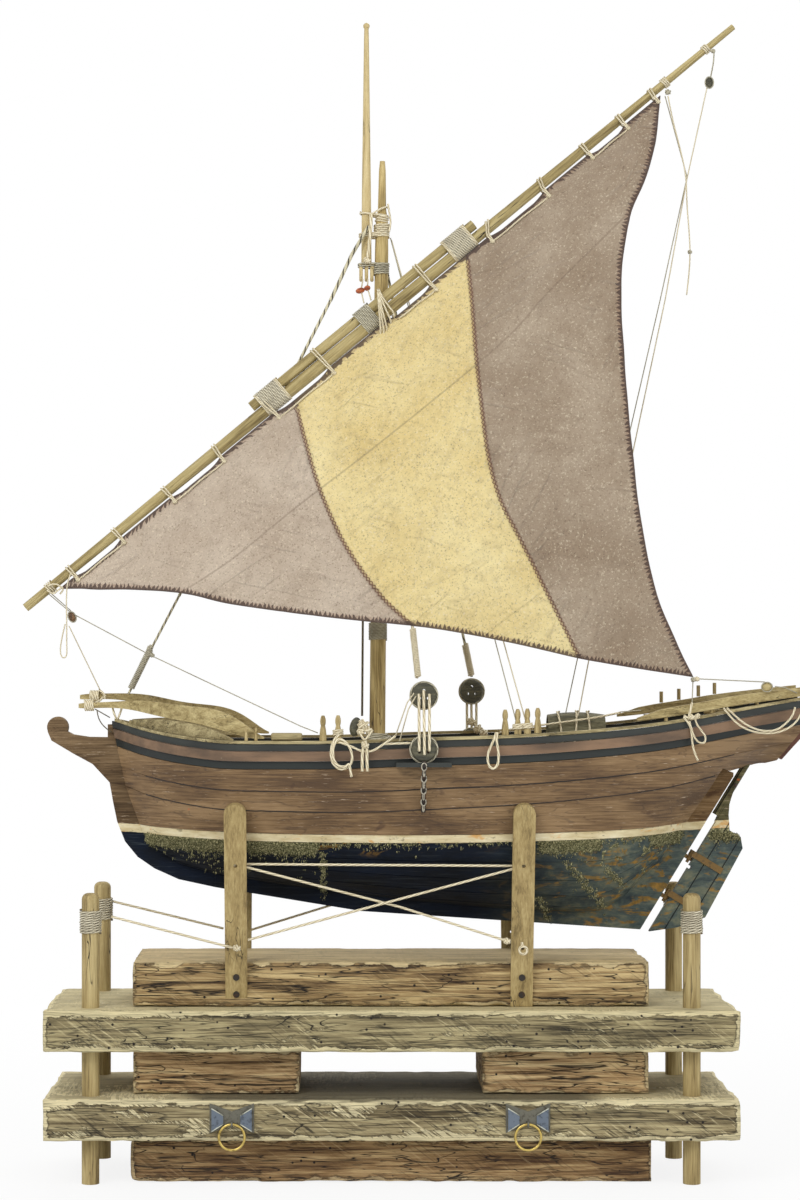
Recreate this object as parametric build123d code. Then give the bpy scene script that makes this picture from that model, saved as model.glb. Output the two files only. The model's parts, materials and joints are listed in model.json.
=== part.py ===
from build123d import *
import math
import os

# A wooden model of a decked fishing boat with one lateen sail, on a stand of stacked timbers.
# Millimetres. +X runs from bow to stern, -Y is the port side, +Z is up.
# The origin is the middle of the underside of the stand.

# Stand timbers
BASE_LENGTH = 357
BASE_WIDTH = 92
BASE_HEIGHT = 31
PLANK_LENGTH = 473
PLANK_WIDTH = 130
PLANK_THICK = 29
SPACER_LENGTH = 115
SPACER_WIDTH = 88
SPACER_THICK = 31
TOP_BLOCK_LENGTH = 354
TOP_BLOCK_WIDTH = 92
TOP_BLOCK_THICK = 31
PLANK_CORNER = 6
TIMBER_EDGE = 1.5

# Dowels at the corners of the stand
DOWEL_RADIUS = 6
DOWEL_TOP = 198
DOWEL_X = 205
DOWEL_Y = 47.5
DOWEL_FIT = 0.1
WHIPPING_BOTTOM = 170
WHIPPING_HEIGHT = 17
WHIPPING_THICK = 0.9
WHIPPING_FIT = 0.05

# Posts that wedge the hull
POST_X = (-105.6, 89)
POST_WIDTH = 15
POST_THICK = 5.5
POST_BOTTOM = 121.5
POST_TOP = 261
POST_LEAN = 12.9
POST_FIT = 0.3
NOTCH_FIT = 0.15
NOTCH_SIDE = 1.2
POST_CHECKS = 28
POST_HOLES = (219, 162)
POST_HOLE_RADIUS = 1.3
SCREW_HEIGHTS = (130, 142)
SCREW_HEAD_RADIUS = 2.2
SCREW_HEAD_THICK = 1.2
SCREW_SHANK_RADIUS = 1.0

# Ring pulls
RING_X = (-108, 92)
RING_RADIUS = 8.7
RING_WIRE = 0.85
RING_PIVOT_Z = 43.6
RING_STANDOFF = 2.4
EYE_WIRE = 0.7
EYE_BORE = 0.05
RING_PLATE_LENGTH = 30
RING_PLATE_HEIGHT = 20
RING_PLATE_WAIST = 9
RING_PLATE_THICK = 0.8
RING_PLATE_Z = 47.5

# Hull
STEM_HALF = 3.5
SKIN_MEETS = 3.3
PLANK_SKIN = 2.2
PLANK_SEAM = 0.2
SKIN_BED = 1.0
CORE_BOW_X = -180
CORE_KEEL_HALF = 0.8
CORE_STEP = 0.3
RUB_TOP_DROP = 5
RUB_HEIGHT = 6.7
RUB_PROUD = 1.8
BAND_HEIGHT = 5.3
SEAM_DROPS = (33, 47)
SEAM_DROP_TAPER = 0.10
STRIPE_TOP = 238.6
STRIPE_HEIGHT = 5.6
STRIPE_CURVE = 0.00012
BOTTOM_PLANKS = 5
DECK_DROP = 13
DECK_THICK = 2
CAP_RAIL_WIDTH = 6
CAP_RAIL_THICK = 2
CAP_RAIL_PROUD = 0.8
HALF_LENGTH = 240

# Hull stations: x, rabbet height, rail height, half breadth, fineness of the section
STATION_COLUMNS = ("x", "rabbet", "rail", "half", "fine")
STATIONS = (
    (-194, 312, 314.6, 0.5, 0.80),
    (-184, 268, 312.0, 11, 0.80),
    (-170, 231, 308.5, 31, 0.75),
    (-145, 214, 304.0, 54, 0.65),
    (-105, 205, 300.5, 71.5, 0.55),
    (-50, 197, 300.5, 74.3, 0.50),
    (15, 189, 302.6, 74.7, 0.50),
    (89, 183, 305.0, 72.5, 0.55),
    (140, 181, 308.5, 67.5, 0.65),
    (180, 208, 312.5, 61, 0.85),
    (212, 253, 317.5, 54, 0.95),
    (245, 283, 323.5, 46, 0.90),
    (292, 297, 331.0, 35, 0.80),
)
SECTION_POWER = 2.2
STATION_GAP = 4

# Backbone outlines, each point an x and a height
STEM_FACE = ((-239.0, 307.0), (-236.3, 300.7), (-220.9, 291.5), (-207.6, 284.3), (-195.7, 271.5),
             (-193.2, 257.6), (-190.4, 244.2), (-184.9, 230.3), (-176.1, 219.5), (-164.3, 211.4),
             (-147.4, 203.8), (-122, 198.3))
STEM_TOP = ((-197, 303), (-210, 303.2), (-221, 304.9), (-226, 307.5))
SCROLL_CENTRE = (-232, 310)
SCROLL_RADIUS = 7.4
SCROLL_EYE = 2.6
SCROLL_LIP = 1.8
SCROLL_GROOVE = 1.2
KEEL_HEEL = (175, 168.8)
KEEL_MIDDLE = (-20, 181.6)
POST_HEAD = (240.2, 275.8)
STERNPOST_DEPTH = 12
STERNPOST_STEP = 35
BACKBONE_FIT = 0.1
TRANSOM_FOOT = (270, 287)
TRANSOM_HEAD = (291, 321)
TRANSOM_THICK = 3
TRANSOM_LOW = 0.06
TRANSOM_HIGH = 1.25
TRANSOM_CORNERS = 5

# Rudder
RUDDER_GAP = 1.6
RUDDER_THICK = 6
RUDDER_OUTLINE = ((200.8, 170.1), (220.5, 177.1), (246.7, 225.4), (245.3, 233.4),
                  (237.6, 238.0), (236.0, 253.1))
STOCK_RADIUS = 2.6
STOCK_FIT = 0.35
PINTLE_RADIUS = 1.1
PINTLE_FIT = 0.08
PINTLE_STATIONS = (30, 62)
STRAP_THICK = 0.8
STRAP_WIDTH = 4.5
STRAP_LENGTH = 24
STRAP_BED = 0.02
PINTLE_LENGTH = 5
GUDGEON_WALL = 1.0
GUDGEON_HEIGHT = 3
GUDGEON_WEB = 2
BLADE_SET_BACK = 2.5
RUDDER_FRONT = (2, 104)
RUDDER_NECK = 96
RUDDER_HOLE = (209.6, 212.1)
RUDDER_HOLE_RADIUS = 1.3
COUNTER_ENTRY = 108
STOCK_PROUD = 4
TILLER_CLEAR = 6
TILLER_STEP = 0.5
TILLER_LENGTH = 52
TILLER_RADIUS = 2.1
TILLER_FIT = 0.05
HUB_WALL = 1.2

# Spars
MAST_X = -9
MAST_HEAD_X = -5
MAST_RADIUS = 5.6
MAST_HEAD_RADIUS = 2.3
MAST_TOP = 706
MAST_DEPTH = 40
PARREL_SLACK = 0.6
STAFF_X = -16.2
STAFF_BOTTOM = 610
STAFF_TOP = 799
STAFF_RADIUS = 2.6
STAFF_HEAD_RADIUS = 1.5
BALL_RADIUS = 2.3
YARD_HEEL = (-253.4, 393.3)
YARD_PEAK = (238.7, 797.4)
YARD_RADII = (3.0, 4.6, 3.6, 2.1)
YARD_BREAKS = (0.40, 0.75)
SPAR_CLEAR = 0.2
FISH_ENDS = (210, 410)
FISH_RADIUS = 3.6
FISH_BED = 0.1
BINDING_PLACES = (226, 394)
BINDING_THICK = 1.0
BINDING_WIDTH = 19
BINDING_FIT = 0.05
PARREL_Z = 592
PARREL_WIDTH = 7
STAFF_LASHINGS = ((616, 8), (652, 16))

# Sail
SAIL_HEAD = (27, 567)
SAIL_HEAD_DROP = 5.0
SAIL_CLEW = (205.7, 345.3)
SAIL_THICK = 1.0
SAIL_MARGIN = 10
LEECH_BENDS = ((167.5, 669), (156.0, 600), (164.3, 475))
FOOT_BENDS = ((107, 362.5), (13.5, 379.8), (-104.5, 394.5))
# The cloth's section square to the yard: distance below the yard and Y, an arc that stands off to port
SAIL_ARC = ((0, -9.0), (178, -74.5), (340, -45.5))

# Standing rigging
STAY_RADIUS = 1.0
STAY_HEAD = (-20.2, 651)
STAY_FOOT = (-194.3, 313.6)
SHROUD_RADIUS = 1.2
SHROUD_HEAD_Z = 686
PORT_SHROUD_HEAD_Z = 584
SHROUD_X = 21
DEADEYE_RADIUS = 8.5
DEADEYE_THICK = 5
DEADEYE_HOLE = 1.0
DEADEYE_SPAN = 36
DEADEYE_SEAT = 0.3
LANYARD_RADIUS = 0.9
CHANNEL_LENGTH = 37
CHANNEL_WIDTH = 9
CHANNEL_THICK = 3
CHANNEL_DROP = 14.5
CHANNEL_BED = 0.35
CHAINPLATE_WIDTH = 3
CHAINPLATE_THICK = 0.8
CHAINPLATE_LENGTH = 34
STARBOARD_SHROUD_X = 62

# Deck gear
PIN_LENGTH = 17
PIN_RADIUS = 2.4
PIN_HEAD_RADIUS = 1.9
PIN_PLACES = (-46.4, -36.3, 76.0, 84.5, 91.0, 98.0)
SMALL_PIN_LENGTH = 9
SMALL_PIN_RADIUS = 1.2
SMALL_PIN_PLACES = (-98, -91.5)
ROLLER_RADIUS = 2.7
ROLLER_LENGTH = 21
ROLLER_X = -70.8
BARREL_X = 128.3
BARREL_Y = -22
BARREL_LENGTH = 39.4
BARREL_RADIUS = 11.2
BARREL_BILGE = 12.9
BARREL_HEAD_DEPTH = 1.6
BARREL_STAVE = 1.4
BARREL_CHECKS = 8
BARREL_SEAT = 0.2
HATCH_X = 62
HATCH_LENGTH = 40
HATCH_WIDTH = 36
HATCH_HEIGHT = 7
HATCH_LIP = 1
HATCH_LID = 2.5
SEAT_GAP = 0.05

# Timbers over the bow: x, distance from the centre line, underside, top, lift of the starboard one
BOW_TIMBER = (
    (-86, 69.5, 303.8, 305.0, 0),
    (-97, 67.6, 304.6, 312.0, 0),
    (-110, 64.5, 308, 320, 0),
    (-131, 55, 313.5, 325, 0),
    (-160, 33, 318.5, 328, 2),
    (-184, 13, 323, 328.5, 5),
    (-204, 7.5, 323.5, 327.5, 6),
    (-217, 5, 323.5, 326.5, 6),
)
WASH_BOARD = (
    (-107, 66, 1.0),
    (-131, 55, 8.3),
    (-160, 34, 7.5),
    (-181, 14, 2.0),
)
BOW_TIMBER_WIDTH = 4.5

# Beams over the stern rail: x, gap over the rail's top, height of the beam
STERN_BEAM_COLUMNS = ("x", "gap", "height")
STERN_BEAM_SECTIONS = 10
STERN_BEAM_CROWDING = 1.3
STERN_BEAM = (
    (166, 3.2, 1.6),
    (184, 3.0, 6.0),
    (230, 2.6, 6.4),
    (290, 0.3, 6.2),
)
STERN_BEAM_WIDTH = 5
STERN_BEAM_INSET = 4.5
STERN_STANCHIONS = (186, 218, 250)
THOLE_PLACES = (197.2, 209.5, 223.1, 234.3)
THOLE_HEIGHT = 8
THOLE_RADIUS = 1.3
STANCHION_HEAD = 0.15


# Shapes used throughout

def block(x_low, x_high, y_low, y_high, z_low, z_high):
    size = Box(x_high - x_low, y_high - y_low, z_high - z_low)
    return Pos((x_low + x_high) / 2, (y_low + y_high) / 2, (z_low + z_high) / 2) * size


def rod(start, end, radius, end_radius=None):
    start = Vector(*start)
    end = Vector(*end)
    run = end - start
    plane = Plane(origin=(start + end) * 0.5, z_dir=run.normalized())
    if end_radius is None or abs(end_radius - radius) < 1e-6:
        return plane * Cylinder(radius, run.length)
    return plane * Cone(radius, end_radius, run.length)


def side_plate(points, y_low, y_high):
    """A plate cut to a side view, from points that each hold an x and a height."""
    face = Plane.XZ * make_face(Polyline(*points, close=True))
    plate = extrude(face, amount=(y_high - y_low) / 2, both=True)
    return Pos(0, (y_low + y_high) / 2, 0) * plate


def mirror_y(shape):
    return mirror(shape, about=Plane.XZ)


def group(*shapes):
    solids = []
    for shape in shapes:
        solids.extend(shape.solids())
    return Compound(children=solids)


# Hull lines

def station_value(column, x):
    """Smooth value of a station column at x, by a cubic through the neighbouring stations."""
    index = STATION_COLUMNS.index(column)
    rows = STATIONS
    x = min(max(x, rows[0][0]), rows[-1][0])
    k = 0
    while k < len(rows) - 2 and x > rows[k + 1][0]:
        k += 1
    x0, x1 = rows[k][0], rows[k + 1][0]
    v0, v1 = rows[k][index], rows[k + 1][index]
    slope = (v1 - v0) / (x1 - x0)
    before = slope if k == 0 else (v0 - rows[k - 1][index]) / (x0 - rows[k - 1][0])
    after = slope if k == len(rows) - 2 else (rows[k + 2][index] - v1) / (rows[k + 2][0] - x1)
    m0 = (before + slope) / 2 if before * slope > 0 else 0
    m1 = (after + slope) / 2 if after * slope > 0 else 0
    t = (x - x0) / (x1 - x0)
    width = x1 - x0
    return ((2 * t ** 3 - 3 * t ** 2 + 1) * v0 + (t ** 3 - 2 * t ** 2 + t) * width * m0
            + (3 * t ** 2 - 2 * t ** 3) * v1 + (t ** 3 - t ** 2) * width * m1)


def rail(x):
    return station_value("rail", x)


def rabbet(x):
    return station_value("rabbet", x)


def half_breadth(x, z):
    depth = (rail(x) - z) / (rail(x) - rabbet(x))
    if depth >= 1:
        return SKIN_MEETS
    depth = max(depth, 0)
    return SKIN_MEETS + station_value("half", x) * (1 - depth ** SECTION_POWER) ** station_value("fine", x)


def plank_lines(x):
    """Heights of the plank edges at x, from the rail down to the rabbet."""
    top = rail(x)
    taper = 1 - SEAM_DROP_TAPER * abs(x) / HALF_LENGTH
    stripe = STRIPE_TOP + STRIPE_CURVE * x * x
    lines = [top, top - RUB_TOP_DROP, top - RUB_TOP_DROP - RUB_HEIGHT]
    lines.append(lines[-1] - BAND_HEIGHT)
    lines.extend(top - drop * taper for drop in SEAM_DROPS)
    lines.append(stripe)
    lines.append(stripe - STRIPE_HEIGHT)
    depth = (top - lines[-1]) / (top - rabbet(x))
    deepest = max(1.0, depth + 0.08)
    for k in range(1, BOTTOM_PLANKS + 1):
        share = 1 - (1 - k / BOTTOM_PLANKS) ** 1.5
        lines.append(top - (depth + (deepest - depth) * share) * (top - rabbet(x)))
    return lines


def skin_point(x, z, inward):
    """A point on the hull at x and z, moved inward along the section's normal."""
    step = 0.5
    rise = half_breadth(x, z + step) - half_breadth(x, z - step)
    length = math.hypot(rise, 2 * step)
    normal_y = 2 * step / length
    normal_z = rise / length
    return half_breadth(x, z) - inward * normal_y, z + inward * normal_z


def hull_edge(margin):
    """Points round the planked hull in side view, from the stem head down the rabbet and up the transom."""
    rabbet_points = [(row[0], row[1] + margin) for row in STATIONS if row[0] < KEEL_HEEL[0] - 20]
    along_x = POST_HEAD[0] - KEEL_HEEL[0]
    along_z = POST_HEAD[1] - KEEL_HEEL[1]
    length = math.hypot(along_x, along_z)
    inner = STERNPOST_DEPTH + margin
    back_x = -inner * along_z / length
    back_z = inner * along_x / length
    foot_z = rabbet(KEEL_HEEL[0] - STERNPOST_STEP) + margin
    share = (foot_z - KEEL_HEEL[1] - back_z) / along_z
    foot = (KEEL_HEEL[0] + along_x * share + back_x, foot_z)
    head = (POST_HEAD[0] + back_x, POST_HEAD[1] + back_z)
    counter = (POST_HEAD[0], POST_HEAD[1] + 2.5)
    rake = (TRANSOM_HEAD[0] - TRANSOM_FOOT[0]) / (TRANSOM_HEAD[1] - TRANSOM_FOOT[1])
    top = (TRANSOM_HEAD[0] + 20 * rake, TRANSOM_HEAD[1] + 20)
    return rabbet_points + [foot, head, counter, TRANSOM_FOOT, TRANSOM_HEAD, top]


def outside_hull():
    """Everything before the stem rabbet, below the keel rabbet and aft of the transom."""
    edge = hull_edge(BACKBONE_FIT)
    ahead = STEM_FACE[0][0] - PLANK_WIDTH
    astern = TRANSOM_HEAD[0] + PLANK_WIDTH
    frame = [(ahead, 0), (ahead, edge[0][1])] + edge + [(astern, edge[-1][1]), (astern, 0)]
    return side_plate(frame, -PLANK_WIDTH, PLANK_WIDTH)


OUTSIDE_HULL = outside_hull()
MIDDLE_GAP = block(-HALF_LENGTH, 2 * HALF_LENGTH, -2 * PLANK_WIDTH, PLANK_SEAM, 0, MAST_TOP)


def stations_between(x_low, x_high):
    """The stations and the places half way between them, with the two ends asked for."""
    places = [row[0] for row in STATIONS]
    places += [(places[k] + places[k + 1]) / 2 for k in range(2, len(places) - 1)]
    inner = sorted(x for x in places if x_low + STATION_GAP < x < x_high - STATION_GAP)
    return [x_low] + inner + [x_high]


def largest(shape):
    return max(shape.solids(), key=lambda solid: solid.volume)


def strake(upper, lower, outward=0.0, thick=PLANK_SKIN):
    """One starboard plank between two plank edges, numbered from the rail down."""
    def edge(index, x):
        return plank_lines(x)[index]

    x_low = STATIONS[0][0]
    while edge(upper, x_low) < rabbet(x_low) and x_low < 0:
        x_low += 1
    x_high = STATIONS[-1][0]
    while edge(upper, x_high) < rabbet(x_high) and x_high > 0:
        x_high -= 1
    sections = []
    for x in stations_between(x_low, x_high):
        z_top = edge(upper, x) - PLANK_SEAM
        z_bottom = edge(lower, x) + PLANK_SEAM
        corners = []
        for z, inward in ((z_top, -outward), (z_bottom, -outward), (z_bottom, thick), (z_top, thick)):
            y, height = skin_point(x, z, inward)
            corners.append((x, y, height))
        sections.append(make_face(Polyline(*corners, close=True)))
    return largest(loft(sections) - OUTSIDE_HULL - MIDDLE_GAP)


def core_section(x):
    """Section of the hull inside its planks, with a corner behind each plank edge below the band."""
    inward = PLANK_SKIN + SKIN_BED
    top = deck_height(x) - DECK_THICK
    side = [(x, deck_half(x), top)]
    edges = plank_lines(x)[3:]
    for k, z in enumerate(edges):
        lowest = rabbet(x) + (len(edges) - 1 - k) * CORE_STEP
        y, height = skin_point(x, max(z, lowest), inward)
        side.append((x, max(y, CORE_KEEL_HALF), min(height, side[-1][2] - CORE_STEP)))
    across = [(x, -y, z) for x, y, z in reversed(side)]
    return make_face(Polyline(*side, *across, close=True))


def hull_core():
    places = stations_between(CORE_BOW_X, STATIONS[-1][0])
    body = largest(loft([core_section(x) for x in places], ruled=True) - OUTSIDE_HULL)
    return body - stock_bore() - mast_step()


def stock_bore():
    """The raked hole through the counter for the rudder stock."""
    return rod(rudder_axis(COUNTER_ENTRY), rudder_axis(tiller_distance()), STOCK_RADIUS + STOCK_FIT)


def mast_step():
    return mast(SPAR_CLEAR)


# Rudder axis, raked with the sternpost

def rudder_axis(distance):
    """A point on the pintle line, at a distance up it from the foot of the rudder."""
    along_x = POST_HEAD[0] - KEEL_HEEL[0]
    along_z = POST_HEAD[1] - KEEL_HEEL[1]
    length = math.hypot(along_x, along_z)
    aft = RUDDER_GAP + PINTLE_RADIUS + GUDGEON_WALL
    x = KEEL_HEEL[0] + aft * along_z / length + distance * along_x / length
    z = KEEL_HEEL[1] - aft * along_x / length + distance * along_z / length
    return x, 0, z


def axis_across():
    """Unit vector in the side view, square to the rudder axis and pointing aft."""
    along_x = POST_HEAD[0] - KEEL_HEEL[0]
    along_z = POST_HEAD[1] - KEEL_HEEL[1]
    length = math.hypot(along_x, along_z)
    return along_z / length, -along_x / length


def deck_height(x):
    return rail(x) - DECK_DROP


def inner_half(x, z):
    """Half breadth inside the planks at the same height."""
    step = 0.5
    rise = half_breadth(x, z + step) - half_breadth(x, z - step)
    return half_breadth(x, z) - (PLANK_SKIN + SKIN_BED) * math.hypot(rise, 2 * step) / (2 * step)


def deck_half(x):
    top = deck_height(x)
    return max(min(inner_half(x, top), inner_half(x, top - DECK_THICK)), CORE_KEEL_HALF)


def deck_plate():
    sections = []
    for x in stations_between(CORE_BOW_X, STATIONS[-1][0]):
        half = deck_half(x)
        top = deck_height(x)
        low = top - DECK_THICK + SEAT_GAP
        corners = ((x, -half, top), (x, half, top), (x, half, low), (x, -half, low))
        sections.append(make_face(Polyline(*corners, close=True)))
    return largest(loft(sections, ruled=True) - OUTSIDE_HULL) - stock_bore() - mast_step()


def cap_rail():
    """The flat rail that lies on the bulwark, starboard side."""
    sections = []
    for x in stations_between(STATIONS[0][0] + 2, STATIONS[-1][0]):
        outer = half_breadth(x, rail(x)) + CAP_RAIL_PROUD
        inner = max(outer - CAP_RAIL_WIDTH, 0.6)
        low = rail(x)
        top = low + CAP_RAIL_THICK
        corners = ((x, inner, low), (x, outer, low), (x, outer, top), (x, inner, top))
        sections.append(make_face(Polyline(*corners, close=True)))
    return loft(sections)


# Backbone

def scroll_stem():
    """The stem timber, with its scroll head carried forward on a curved neck."""
    foot_x = STEM_FACE[-1][0]
    inside = [point for point in reversed(hull_edge(0)) if point[0] <= foot_x]
    foot_z = rabbet(foot_x)
    outline = list(STEM_FACE) + [(foot_x, foot_z)] + inside
    outline += [(STEM_TOP[0][0], inside[-1][1])] + list(STEM_TOP)
    body = side_plate(outline, -STEM_HALF, STEM_HALF)
    scroll = Plane(origin=(SCROLL_CENTRE[0], 0, SCROLL_CENTRE[1]), z_dir=(0, 1, 0))
    body += scroll * Cylinder(SCROLL_RADIUS, 2 * STEM_HALF)
    groove = Cylinder(SCROLL_RADIUS - SCROLL_LIP, SCROLL_GROOVE) - Cylinder(SCROLL_EYE, SCROLL_GROOVE)
    for side in (-1, 1):
        body -= Pos(0, side * STEM_HALF, 0) * scroll * groove
    return body


def keel_bottom(x):
    """Height of the keel's underside, two straight runs from the stem to the heel."""
    foot_x, foot_z = STEM_FACE[-1]
    if x < KEEL_MIDDLE[0]:
        share = (x - foot_x) / (KEEL_MIDDLE[0] - foot_x)
        return foot_z + share * (KEEL_MIDDLE[1] - foot_z)
    share = (x - KEEL_MIDDLE[0]) / (KEEL_HEEL[0] - KEEL_MIDDLE[0])
    return KEEL_MIDDLE[1] + share * (KEEL_HEEL[1] - KEEL_MIDDLE[1])


def sternpost_foot():
    return hull_edge(0)[-6]


def keel():
    foot_x, foot_z = STEM_FACE[-1]
    bow_x = foot_x + BACKBONE_FIT
    heel_x, heel_z = sternpost_foot()
    top = [(x, z) for x, z in hull_edge(0) if foot_x < x < heel_x]
    outline = [(bow_x, keel_bottom(bow_x)), KEEL_MIDDLE, (heel_x, keel_bottom(heel_x)), (heel_x, heel_z)]
    outline += top[::-1] + [(bow_x, rabbet(bow_x))]
    return side_plate(outline, -STEM_HALF, STEM_HALF)


def sternpost():
    foot_x, foot_z = sternpost_foot()
    head = hull_edge(0)[-5]
    counter = hull_edge(0)[-4]
    start = foot_x + BACKBONE_FIT
    outline = [(start, foot_z), (start, keel_bottom(start)), KEEL_HEEL, POST_HEAD, counter, head]
    return side_plate(outline, -STEM_HALF, STEM_HALF)


def side_point(distance, aft):
    """A point in the side view, from its distance up the rudder axis and how far aft of it."""
    x, y, z = rudder_axis(distance)
    across = axis_across()
    return x + aft * across[0], z + aft * across[1]


def gudgeon(top):
    """An eye on the sternpost's after face that holds one pintle."""
    low = top - GUDGEON_HEIGHT
    barrel = rod(rudder_axis(low), rudder_axis(top), PINTLE_RADIUS + GUDGEON_WALL)
    bore = rod(rudder_axis(low - 1), rudder_axis(top + 1), PINTLE_RADIUS + PINTLE_FIT)
    seat = STRAP_BED - RUDDER_GAP - PINTLE_RADIUS - GUDGEON_WALL
    corners = [side_point(low, seat), side_point(top, seat), side_point(top, 0), side_point(low, 0)]
    return barrel + side_plate(corners, -GUDGEON_WEB / 2, GUDGEON_WEB / 2) - bore


def transom():
    """The raked board that closes the stern, cut to the hull's section."""
    rake_x = TRANSOM_HEAD[0] - TRANSOM_FOOT[0]
    rake_z = TRANSOM_HEAD[1] - TRANSOM_FOOT[1]
    length = math.hypot(rake_x, rake_z)
    corners = []
    for k in range(TRANSOM_CORNERS + 1):
        up = TRANSOM_LOW + (TRANSOM_HIGH - TRANSOM_LOW) * k / TRANSOM_CORNERS
        x = TRANSOM_FOOT[0] + rake_x * up
        z = TRANSOM_FOOT[1] + rake_z * up
        corners.append((half_breadth(x, z), up * length))
    outline = [(y, v) for y, v in corners] + [(-y, v) for y, v in reversed(corners)]
    plane = Plane(origin=(TRANSOM_FOOT[0] + BACKBONE_FIT, 0, TRANSOM_FOOT[1]), x_dir=(0, 1, 0),
                  z_dir=(rake_z / length, 0, -rake_x / length))
    face = plane * make_face(Polyline(*[(-y, v) for y, v in outline], close=True))
    return extrude(face, amount=TRANSOM_THICK)


# Rudder

def rudder_blade():
    """The blade and its raked stock, which turn about the pintle line."""
    low, high = RUDDER_FRONT
    outline = [side_point(low, BLADE_SET_BACK)] + list(RUDDER_OUTLINE) + [side_point(high, BLADE_SET_BACK)]
    blade = side_plate(outline, -RUDDER_THICK / 2, RUDDER_THICK / 2)
    blade += rod(rudder_axis(RUDDER_NECK), rudder_axis(tiller_distance() + STOCK_PROUD), STOCK_RADIUS)
    hole = Plane(origin=(RUDDER_HOLE[0], 0, RUDDER_HOLE[1]), z_dir=(0, 1, 0))
    return blade - hole * Cylinder(RUDDER_HOLE_RADIUS, 2 * RUDDER_THICK)


def rudder_strap(distance):
    """A pintle with a strap bent round the front of the blade and down both cheeks."""
    inner = RUDDER_THICK / 2 + STRAP_BED
    bend = BLADE_SET_BACK - STRAP_BED
    low = distance + PINTLE_FIT
    high = distance + STRAP_WIDTH
    pin = rod(rudder_axis(distance - PINTLE_LENGTH), rudder_axis(low), PINTLE_RADIUS)
    knuckle = rod(rudder_axis(low), rudder_axis(high), PINTLE_RADIUS + GUDGEON_WALL)
    start = [side_point(low, 0), side_point(high, 0)]
    cheek_corners = start + [side_point(high, STRAP_LENGTH), side_point(low, STRAP_LENGTH)]
    bend_corners = start + [side_point(high, bend), side_point(low, bend)]
    cheek = side_plate(cheek_corners, inner, inner + STRAP_THICK)
    front = side_plate(bend_corners, -inner - STRAP_THICK, inner + STRAP_THICK)
    return pin + knuckle + front + cheek + mirror_y(cheek)


def tiller_distance():
    """How far up the rudder axis the tiller sits to clear the deck."""
    distance = COUNTER_ENTRY
    while rudder_axis(distance)[2] < deck_height(rudder_axis(distance)[0]) + TILLER_CLEAR:
        distance += TILLER_STEP
    return distance


def tiller():
    distance = tiller_distance()
    half = TILLER_RADIUS * 1.5
    x, y, z = rudder_axis(distance)
    bar = rod((x - STOCK_RADIUS * 0.5, 0, z), (x - TILLER_LENGTH, 0, z), TILLER_RADIUS, TILLER_RADIUS * 0.75)
    hub = rod(rudder_axis(distance - half), rudder_axis(distance + half), STOCK_RADIUS + HUB_WALL)
    bore = rod(rudder_axis(distance - 2 * half), rudder_axis(distance + 2 * half), STOCK_RADIUS + TILLER_FIT)
    return bar + hub - bore


# Stand

def timber(length, width, low, high, x=0):
    size = block(x - length / 2, x + length / 2, -width / 2, width / 2, low, high)
    return chamfer(size.edges(), TIMBER_EDGE)


def plank_timber(low):
    plank = Pos(0, 0, low + PLANK_THICK / 2) * Box(PLANK_LENGTH, PLANK_WIDTH, PLANK_THICK)
    plank = fillet(plank.edges().filter_by(Axis.Z), PLANK_CORNER)
    plank = chamfer(plank.faces().sort_by(Axis.Z)[-1].edges(), TIMBER_EDGE)
    for x in (-DOWEL_X, DOWEL_X):
        for y in (-DOWEL_Y, DOWEL_Y):
            plank -= Pos(x, y, low + PLANK_THICK / 2) * Cylinder(DOWEL_RADIUS + DOWEL_FIT, PLANK_THICK * 2)
    return plank


LOWER_PLANK_Z = BASE_HEIGHT
SPACER_Z = LOWER_PLANK_Z + PLANK_THICK
UPPER_PLANK_Z = SPACER_Z + SPACER_THICK
TOP_BLOCK_Z = UPPER_PLANK_Z + PLANK_THICK


def dowel(x, y):
    shaft = Pos(x, y, DOWEL_TOP / 2) * Cylinder(DOWEL_RADIUS, DOWEL_TOP)
    return fillet(shaft.edges().filter_by(GeomType.CIRCLE).sort_by(Axis.Z)[-1:], DOWEL_RADIUS * 0.7)


def dowel_places():
    return [(x, y) for x in (-DOWEL_X, DOWEL_X) for y in (-DOWEL_Y, DOWEL_Y)]


def whipping(x, y):
    band = Cylinder(DOWEL_RADIUS + WHIPPING_THICK, WHIPPING_HEIGHT)
    band -= Cylinder(DOWEL_RADIUS + WHIPPING_FIT, WHIPPING_HEIGHT * 2)
    return Pos(x, y, WHIPPING_BOTTOM + WHIPPING_HEIGHT / 2) * band


def post_foot(x):
    """Distance from the centre line to a post's inner face at its foot, so that it just meets the hull."""
    slope = math.tan(math.radians(POST_LEAN))
    reach = 0
    for edge_x in (x - POST_WIDTH / 2, x, x + POST_WIDTH / 2):
        for k in range(POST_CHECKS + 1):
            z = POST_BOTTOM + (POST_TOP - POST_BOTTOM) * k / POST_CHECKS
            reach = max(reach, half_breadth(edge_x, z) - slope * (z - POST_BOTTOM))
    return reach + POST_FIT / math.cos(math.radians(POST_LEAN))


def post_plane(x):
    """A plane on the starboard post's inner face, x across it and y up it, with the normal outward."""
    lean = math.radians(POST_LEAN)
    up = (0, math.sin(lean), math.cos(lean))
    outward = (0, math.cos(lean), -math.sin(lean))
    return Plane(origin=(x, post_foot(x), POST_BOTTOM), x_dir=(1, 0, 0), z_dir=outward), up


def post_height():
    return (POST_TOP - POST_BOTTOM) / math.cos(math.radians(POST_LEAN))


def post_profile(grow=0.0):
    half = POST_WIDTH / 2 + grow
    tall = post_height()
    return make_face(Line((-half, -grow), (half, -grow)) + Line((half, -grow), (half, tall - half))
                     + ThreePointArc((half, tall - half), (0, tall + grow), (-half, tall - half))
                     + Line((-half, tall - half), (-half, -grow)))


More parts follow.
